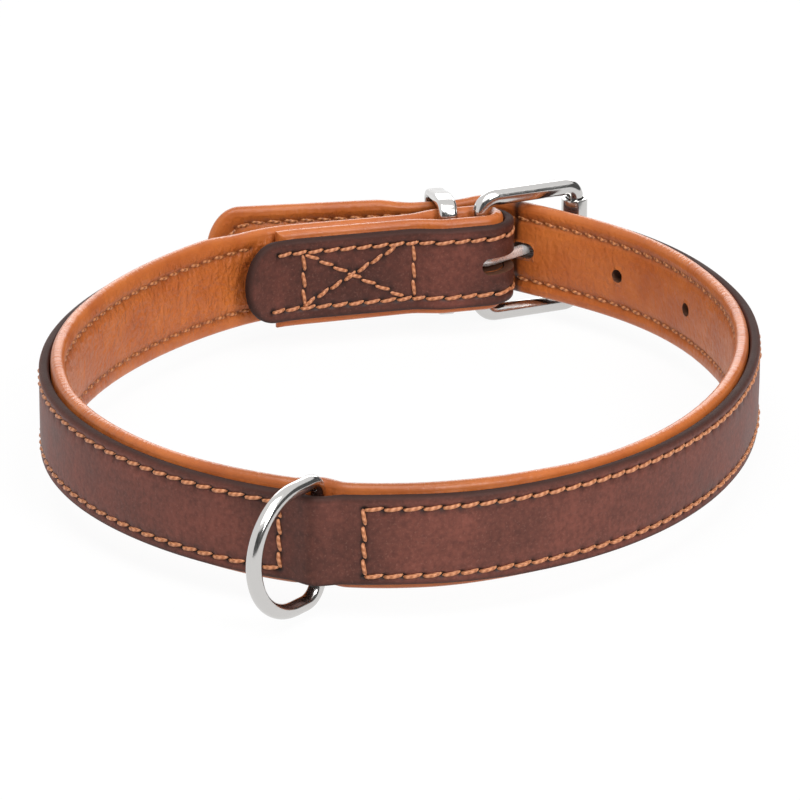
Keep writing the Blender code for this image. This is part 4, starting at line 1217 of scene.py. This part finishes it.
def sew(name, runs, offset, facing, sizes, tree, material):
    """One thread: a point for each stitch, and the node tree that sets a stitch on it."""
    middle, row, out, length = stitch_points(runs, offset, facing, sizes.stitch_slant)
    mesh = bpy.data.meshes.new(name)
    mesh.from_pydata(middle.tolist(), [], [])
    for title, values in (("row_along", row), ("face_out", out)):
        layer = mesh.attributes.new(title, "FLOAT_VECTOR", "POINT")
        layer.data.foreach_set("vector", values.astype(np.float32).ravel())
    # Hand-fed work: no two stitches are drawn quite as tight
    tension = np.random.default_rng(7).uniform(0.75, 1.15, len(length))
    for title, values in (("stretch", length / sizes.stitch_pitch), ("lift", tension)):
        layer = mesh.attributes.new(title, "FLOAT", "POINT")
        layer.data.foreach_set("value", values.astype(np.float32))
    thread = new_object(name, mesh)
    modifier = thread.modifiers.new("stitches", "NODES")
    modifier.node_group = tree
    inputs = {
        "Stitch Length": sizes.stitch_pitch * 0.93,
        "Thread Radius": sizes.thread_thickness / 2,
        "Rise": sizes.thread_thickness * 0.45,
        "Sink": sizes.thread_thickness * 0.75,
        "Material": material,
    }
    for item in tree.interface.items_tree:
        if item.in_out == "INPUT" and item.name in inputs:
            modifier[item.identifier] = inputs[item.name]
    baked(thread)
    thread.data.set_sharp_from_angle(angle=THREAD_SHARP)
    return thread


def build_stitching(sizes, colours):
    """Six threads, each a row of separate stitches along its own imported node."""
    tree = stitch_tree()
    top = waxed_thread("waxed_polyester_thread", colours.thread, colours.thread_shade)
    bobbin = waxed_thread("waxed_bobbin_thread", colours.bobbin, colours.bobbin_shade)
    on_dark = OUTER_FACE - sizes.groove_depth
    on_tan = INNER_FACE + sizes.lining_dip + BOBBIN_SUNK
    for node, runs in seam_runs(sizes.stitch_pitch).items():
        inner = node in INNER_RUNS
        offset, facing = (on_tan, -1.0) if inner else (on_dark, 1.0)
        thread = sew("stitches_" + node, runs, offset, facing, sizes, tree, bobbin if inner else top)
        if not thread.data.polygons:
            raise RuntimeError(f"no stitches were made for {node}")
        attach(thread, "collar")
        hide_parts(node)


# Fittings


def finish_fitting(thing, material, body, node):
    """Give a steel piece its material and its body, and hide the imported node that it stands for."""
    thing.data.materials.append(material)
    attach(thing, body)
    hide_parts(node)


def steel(colours):
    """The one polished steel that all the fittings but the prong share."""
    name = "polished_plated_steel"
    return bpy.data.materials.get(name) or plated_steel(name, colours.steel, 0.1, 0.19)


def build_dring(colours):
    """Bent wire D whose straight side is the hinge bar between the plies."""
    half = (DRING_INSIDE + DRING_WIRE) / 2
    arm = DRING_REACH - half
    bow = np.array([arm, 0.0]) + half * polar(np.linspace(-np.pi / 2, np.pi / 2, 65))
    turn = np.linspace(0.0, np.pi / 2, 13)
    upper = np.array([DRING_CORNER, half - DRING_CORNER]) + DRING_CORNER * polar(np.pi / 2 + turn)
    low_centre = np.array([DRING_LOW_CORNER, DRING_LOW_CORNER - half])
    lower = low_centre + DRING_LOW_CORNER * polar(np.pi + turn)
    flat = filled_in(np.vstack([bow, upper, lower]), WIRE_STEP)
    out = ROUTE.outward(np.array(DRING_AT))
    along = np.append(polar(np.array(math.atan2(out[1], out[0]) + DRING_SWING)), 0.0)
    centre = place(np.array(DRING_AT), 0.0, -DRING_DROP)
    path = centre + flat[:, :1] * along + flat[:, 1:] * UP
    ring = sweep("d_ring_wire", path, np.cross(along, UP), round_section(DRING_WIRE / 2, squareness=2.15))
    finish_fitting(ring, steel(colours), "d_ring", "d_ring")


def build_buckle(colours):
    """Frame, roller and prong, all drawn from the heel bar's axis."""
    material = steel(colours)
    heel = np.array([HEEL[0], HEEL[1], MID_HEIGHT - BUCKLE_DROP + BUCKLE_LIFT])
    along = np.append(polar(np.array(FRAME_TURN)), 0.0)
    across = np.cross(UP, along)
    corners = np.array([(0.0, SIDE_BAR_Z), (0.0, -SIDE_BAR_Z), (BUCKLE_REACH, -SIDE_BAR_Z),
                        (BUCKLE_REACH, SIDE_BAR_Z)])
    loop = filled_in(rounded_loop(corners, [HEEL_CORNER] * 2 + [ROLLER_CORNER] * 2), WIRE_STEP)
    path = heel + loop[:, :1] * along + loop[:, 1:] * UP
    buckle_frame = sweep("buckle_frame_wire", path, across, round_section(BAR_R, squareness=2.3))
    finish_fitting(buckle_frame, material, "buckle_frame", "buckle_frame")

    half = SIDE_BAR_Z - ROLLER_CORNER - ROLLER_PLAY
    inside = BAR_R + ROLLER_PLAY
    lip = ROLLER_LIP
    bevel = 0.3 * lip
    profile = np.array([
        (inside, -half), (inside + lip, -half), (ROLLER_R - lip, -half), (ROLLER_R - bevel, -half + bevel),
        (ROLLER_R, -half + lip), (ROLLER_R, half - lip), (ROLLER_R - bevel, half - bevel),
        (ROLLER_R - lip, half), (inside, half)])
    centre = heel + along * BUCKLE_REACH
    arms = polar(np.linspace(0.0, 2 * np.pi, 72, endpoint=False))
    heights = np.repeat(profile[None, :, 1:], len(arms), 0)
    points = centre + np.concatenate([profile[None, :, :1] * arms[:, None], heights], -1)
    faces = grid_faces(len(arms), len(profile), True, True)
    roller = new_object("buckle_roller_sleeve", mesh_from(
        "buckle_roller_sleeve", points.reshape(-1, 3), faces.tolist(), ROLLER_SHARP))
    finish_fitting(roller, material, "buckle_roller", "buckle_roller")

    lean = FRAME_TURN + PRONG_LEAN
    wrap = PRONG_LOOP * polar(-np.pi / 2 - np.linspace(PRONG_WRAP, 0.0, 72))
    shank = BUCKLE_REACH * math.cos(PRONG_LEAN) + PRONG_PAST_ROLLER
    reach = np.linspace(0.0, shank, 60)[1:]
    flat = np.vstack([wrap, np.stack([reach, np.full_like(reach, -PRONG_LOOP)], 1)])
    run = np.r_[np.zeros(len(wrap)), reach]
    # The last of the shank is ground to a blunt point
    point = np.clip((run - shank + PRONG_POINT) / PRONG_POINT, 0.0, 1.0)
    scale = 1.0 - PRONG_THINNED * point**2
    flat = flat @ np.array(Matrix.Rotation(lean, 2)).T
    path = np.concatenate([HEEL + flat, np.full((len(flat), 1), MID_HEIGHT)], 1)
    section = round_section(PRONG_R, squareness=2.3)
    prong = sweep("buckle_prong_wire", path, UP, section, closed=False, scale=scale)
    satin = plated_steel("satin_plated_steel", colours.prong, 0.24, 0.32, metallic=0.55)
    finish_fitting(prong, satin, "buckle_prong", "buckle_prong")


def build_keeper(colours):
    """Flat steel band round the tail and the main strap, caught by the fold."""
    half = (LINING_WIDTH + KEEPER_PLAY + KEEPER_THICK) / 2
    tail_face = (TAIL_INSIDE + LINING_THICK + PLY_GAP + OUTER_THICK) / math.cos(TAIL_SPLAY)
    far_edge = KEEPER_FROM_BAR + KEEPER_WIDTH / 2
    depth = tail_face + far_edge * math.tan(TAIL_SPLAY) + (KEEPER_PLAY + KEEPER_THICK) / 2
    corners = np.array([(0.0, half), (0.0, -half), (depth, -half), (depth, half)])
    loop = filled_in(rounded_loop(corners, [KEEPER_CORNER] * 4), WIRE_STEP)
    # Past the main strap the band is beaten thinner and bent down on to the tail
    far = ease((loop[:, 0] / depth - KEEPER_BENT_FROM) / KEEPER_BENT_OVER)
    loop[:, 1] *= 1.0 - np.where(loop[:, 1] > 0, KEEPER_BEND * far, KEEPER_LOW_LIFT) / half
    away = np.append(polar(np.array(np.pi / 2 + KEEPER_TURN)), 0.0)
    # It hangs on the strap's upper rim
    origin = np.array([HEEL[0] - KEEPER_FROM_BAR, HEEL[1], MID_HEIGHT - KEEPER_DROP])
    path = origin + loop[:, :1] * away + loop[:, 1:] * UP
    section = slab_section(KEEPER_WIDTH, KEEPER_THICK, KEEPER_EDGE_ROUND)
    band = sweep("keeper_band", path, np.cross(away, UP), section, thin=1.0 - KEEPER_THINNED * far)
    finish_fitting(band, steel(colours), "keeper", "keeper_loop")


# Stage


def seen_directly(tree):
    """1 for rays that reach the camera straight, off polish or through glass, 0 for others."""
    ray = add_node(tree, "ShaderNodeLightPath").outputs
    seen = add_node(tree, "ShaderNodeMath", {0: ray["Is Camera Ray"], 1: ray["Is Glossy Ray"]},
                    operation="MAXIMUM").outputs[0]
    return add_node(tree, "ShaderNodeMath", {0: seen, 1: ray["Is Transmission Ray"]},
                    operation="MAXIMUM").outputs[0]


def white_floor(colours):
    """Seamless studio paper: reads as plain white and keeps a faint contact shadow."""
    material, tree, shader = new_material("white_studio_paper")
    shader.inputs["Base Color"].default_value = rgba(colours.floor)
    shader.inputs["Roughness"].default_value = 0.9
    share = add_node(tree, "ShaderNodeMath", {0: seen_directly(tree), 1: PAPER_GLOW}, operation="MULTIPLY")
    glow = add_node(tree, "ShaderNodeEmission", {"Color": WHITE, "Strength": 1.0})
    mix = add_node(tree, "ShaderNodeMixShader", {
        0: share.outputs[0], 1: shader.outputs[0], 2: glow.outputs[0]})
    tree.links.new(mix.outputs[0], tree.nodes["Material Output"].inputs["Surface"])
    return material


def grey_felt():
    """Grey felt, which gives back little light."""
    material, _, shader = new_material("grey_felt")
    shader.inputs["Base Color"].default_value = rgba(colour(GREY_FELT))
    shader.inputs["Roughness"].default_value = 1.0
    shader.inputs["Specular IOR Level"].default_value = 0.0
    return material


def add_lamp(name, place_at, target, size, power):
    """A softbox of a size in metres and a power in watts, turned to its target."""
    data = bpy.data.lights.new(name, "AREA")
    data.shape = "RECTANGLE"
    data.size, data.size_y = size
    data.energy = power
    lamp = new_object(name, data)
    lamp.location = place_at
    lamp.rotation_euler = (Vector(target) - Vector(place_at)).to_track_quat("-Z", "Y").to_euler()


def build_stage(colours):
    """Camera at the photograph's view, white floor and soft studio light."""
    scene = bpy.context.scene
    scene.view_settings.view_transform = "Standard"
    target = np.array([-PLAN_CENTRE[0], -PLAN_CENTRE[1], MID_HEIGHT])
    level = math.cos(CAMERA_RISE)
    back = np.array([math.sin(CAMERA_SWING) * level, -math.cos(CAMERA_SWING) * level, math.sin(CAMERA_RISE)])
    data = bpy.data.cameras.new("photo_camera")
    data.sensor_width = SENSOR
    data.lens = CAMERA_FOCAL_PIXELS * SENSOR / IMAGE_SIDE
    data.shift_x = -(IMAGE_CENTRE[0] - IMAGE_SIDE / 2) / IMAGE_SIDE
    data.shift_y = (IMAGE_CENTRE[1] - IMAGE_SIDE / 2) / IMAGE_SIDE
    data.clip_end = 20.0
    camera = new_object("photo_camera", data)
    camera.location = target + back * CAMERA_DISTANCE
    level_view = Vector(back).to_track_quat("Z", "Y").to_matrix()
    camera.rotation_euler = (level_view @ Matrix.Rotation(CAMERA_ROLL, 3, "Z")).to_euler()
    scene.camera = camera

    lowest = float(CAD_BOX[0][2])
    corners = np.array([(x * FLOOR_HALF, y * FLOOR_HALF, lowest)
                        for x, y in ((-1, -1), (1, -1), (1, 1), (-1, 1))])
    floor = new_object("studio_floor", mesh_from("studio_floor", corners, [(0, 1, 2, 3)]))
    floor.data.materials.append(white_floor(colours))

    world = bpy.data.worlds.new("studio_surround")
    world.use_nodes = True
    scene.world = world
    tree = world.node_tree
    soft = tree.nodes["Background"]
    soft.inputs["Color"].default_value = WHITE
    soft.inputs["Strength"].default_value = SURROUND_LIGHT
    white = add_node(tree, "ShaderNodeBackground", {"Color": WHITE, "Strength": 1.0})
    mix = add_node(tree, "ShaderNodeMixShader", {
        0: seen_directly(tree), 1: soft.outputs[0], 2: white.outputs[0]})
    tree.links.new(mix.outputs[0], tree.nodes["World Output"].inputs["Surface"])

    middle = (0.0, 0.0, 0.015)
    add_lamp("top_softbox", (-0.2, -0.3, 1.05), middle, (1.0, 0.8), 9.5)
    add_lamp("front_softbox", (0.4, -1.05, 0.8), middle, (0.5, 0.6), 9.5)
    # Stands where level polished faces mirror it to the camera, so that they blow out to white
    add_lamp("back_softbox", (0.34, 1.26, 0.5), middle, (1.3, 0.55), 6.5)

    # A grey screen round the front and the right draws the dark lines in the polished wire
    turn = np.radians(np.linspace(-140.0, 55.0, 27))
    foot = np.concatenate([SCREEN_FROM_MIDDLE * polar(turn), np.full((len(turn), 1), SCREEN_FOOT)], 1)
    points = np.concatenate([foot, foot + UP * SCREEN_HEIGHT])
    faces = grid_faces(2, len(turn), False, False)
    card = new_object("grey_screen", mesh_from("grey_screen", points, faces))
    card.data.materials.append(grey_felt())
    for rays in ("camera", "diffuse", "transmission", "shadow"):
        setattr(card, "visible_" + rays, False)


# Settings, operators and panel


def length_property(name, description, default):
    return bpy.props.FloatProperty(name=name, description=description, default=default, min=0.0,
                                   precision=5, subtype="DISTANCE", unit="LENGTH")


def colour_property(name, description, code):
    return bpy.props.FloatVectorProperty(name=name, description=description, default=colour(code),
                                         min=0.0, max=1.0, size=3, subtype="COLOR")


class CollarSizes(bpy.types.PropertyGroup):
    """Sizes of the collar's finish that may be changed without a new frame"""
    stitch_pitch: length_property("Stitch Pitch", "Distance from needle hole to needle hole", 3.45 * MM)
    thread_thickness: length_property("Thread", "Thickness of the sewing thread", 0.8 * MM)
    stitch_slant: length_property("Stitch Slant", "How far a stitch's ends stray from its row", 0.3 * MM)
    groove_depth: length_property("Groove", "How far the thread pulls into the dark strap", 0.22 * MM)
    needle_depth: length_property("Needle Holes", "Depth of each needle hole's dimple", 0.45 * MM)
    edge_round: length_property("Edge", "Radius of the dark strap's burnished edge", 0.95 * MM)
    lining_dip: length_property("Lining Seam", "How far the thread pulls into the padding", 0.45 * MM)
    lining_crown: length_property("Lining Crown", "Rise of the padding between its seams", 0.3 * MM)
    pucker: length_property("Pucker", "Height of the folds on the lining's rim", 0.06 * MM)


class CollarColours(bpy.types.PropertyGroup):
    """Colours of the collar's materials and its stage"""
    dark_leather: colour_property("Dark Leather", "Oiled strap where it lies flat", "#49271F")
    dark_leather_rubbed: colour_property("Rubbed Leather", "Oiled strap where it has paled", "#7A4337")
    dark_edge: colour_property("Burnished Edge", "Edge of the oiled strap", "#301A14")
    tan_leather: colour_property("Tan Leather", "Lining where it is deepest", "#A85523")
    tan_leather_worn: colour_property("Worn Tan", "Lining where it has paled", "#BE692E")
    tan_shade: colour_property("Tan Shade", "Lining in its seams", "#70391A")
    thread: colour_property("Thread", "Crowns of the thread", "#CE8C62")
    thread_shade: colour_property("Thread Shade", "Thread between its plies", "#A0603A")
    bobbin: colour_property("Bobbin Thread", "Crowns of the thread on the lining", "#CD8854")
    bobbin_shade: colour_property("Bobbin Shade", "Lining's thread between its plies", "#864821")
    steel: colour_property("Steel", "Plated fittings", "#CBC9C7")
    prong: colour_property("Prong", "Satin plating of the prong", "#F0EEEC")
    floor: colour_property("Floor", "Studio paper", "#F2F2F2")


class CollarOuterStrap(bpy.types.Operator):
    """Make the dark oiled strap with its burnished edges, holes and pressed seams"""
    bl_idname = "collar.outer_strap"
    bl_label = "Outer Strap"

    def execute(self, context):
        build_outer_strap(context.scene.collar_sizes, context.scene.collar_colours)
        return {"FINISHED"}


class CollarLining(bpy.types.Operator):
    """Make the padded tan lining with its rolled, puckered rim"""
    bl_idname = "collar.lining"
    bl_label = "Padded Lining"

    def execute(self, context):
        build_lining(context.scene.collar_sizes, context.scene.collar_colours)
        return {"FINISHED"}


class CollarStitching(bpy.types.Operator):
    """Sew both faces of the seams and the box stitch"""
    bl_idname = "collar.stitching"
    bl_label = "Stitching"

    def execute(self, context):
        build_stitching(context.scene.collar_sizes, context.scene.collar_colours)
        return {"FINISHED"}


class CollarDRing(bpy.types.Operator):
    """Bend the D-ring that is held between the plies"""
    bl_idname = "collar.d_ring"
    bl_label = "D-Ring"

    def execute(self, context):
        build_dring(context.scene.collar_colours)
        return {"FINISHED"}


class CollarBuckle(bpy.types.Operator):
    """Make the buckle's frame, roller and prong"""
    bl_idname = "collar.buckle"
    bl_label = "Roller Buckle"

    def execute(self, context):
        build_buckle(context.scene.collar_colours)
        return {"FINISHED"}


class CollarKeeper(bpy.types.Operator):
    """Make the flat band that holds the tail down"""
    bl_idname = "collar.keeper"
    bl_label = "Keeper"

    def execute(self, context):
        build_keeper(context.scene.collar_colours)
        return {"FINISHED"}


class CollarStage(bpy.types.Operator):
    """Set up the camera, the floor and the light"""
    bl_idname = "collar.stage"
    bl_label = "Stage"

    def execute(self, context):
        build_stage(context.scene.collar_colours)
        return {"FINISHED"}


OPERATORS = (CollarStage, CollarOuterStrap, CollarLining, CollarStitching, CollarDRing, CollarBuckle,
             CollarKeeper)


class CollarPanel(bpy.types.Panel):
    """Sizes, colours and pieces of the collar"""
    bl_idname = "VIEW3D_PT_collar"
    bl_label = "Leather Collar"
    bl_space_type = "VIEW_3D"
    bl_region_type = "UI"
    bl_category = "Collar"

    def draw(self, context):
        for group in (context.scene.collar_sizes, context.scene.collar_colours):
            box = self.layout.box()
            for key in group.bl_rna.properties.keys():
                if key not in ("rna_type", "name"):
                    box.prop(group, key)
        for operator in OPERATORS:
            self.layout.operator(operator.bl_idname)


CLASSES = (CollarSizes, CollarColours, *OPERATORS, CollarPanel)


def register():
    for item in CLASSES:
        bpy.utils.register_class(item)
    bpy.types.Scene.collar_sizes = bpy.props.PointerProperty(type=CollarSizes)
    bpy.types.Scene.collar_colours = bpy.props.PointerProperty(type=CollarColours)


def unregister():
    del bpy.types.Scene.collar_colours
    del bpy.types.Scene.collar_sizes
    for item in reversed(CLASSES):
        bpy.utils.unregister_class(item)


def main():
    register()
    bpy.ops.collar.stage()
    bpy.ops.collar.outer_strap()
    bpy.ops.collar.lining()
    bpy.ops.collar.stitching()
    bpy.ops.collar.d_ring()
    bpy.ops.collar.buckle()
    bpy.ops.collar.keeper()


if __name__ == "__main__":
    main()
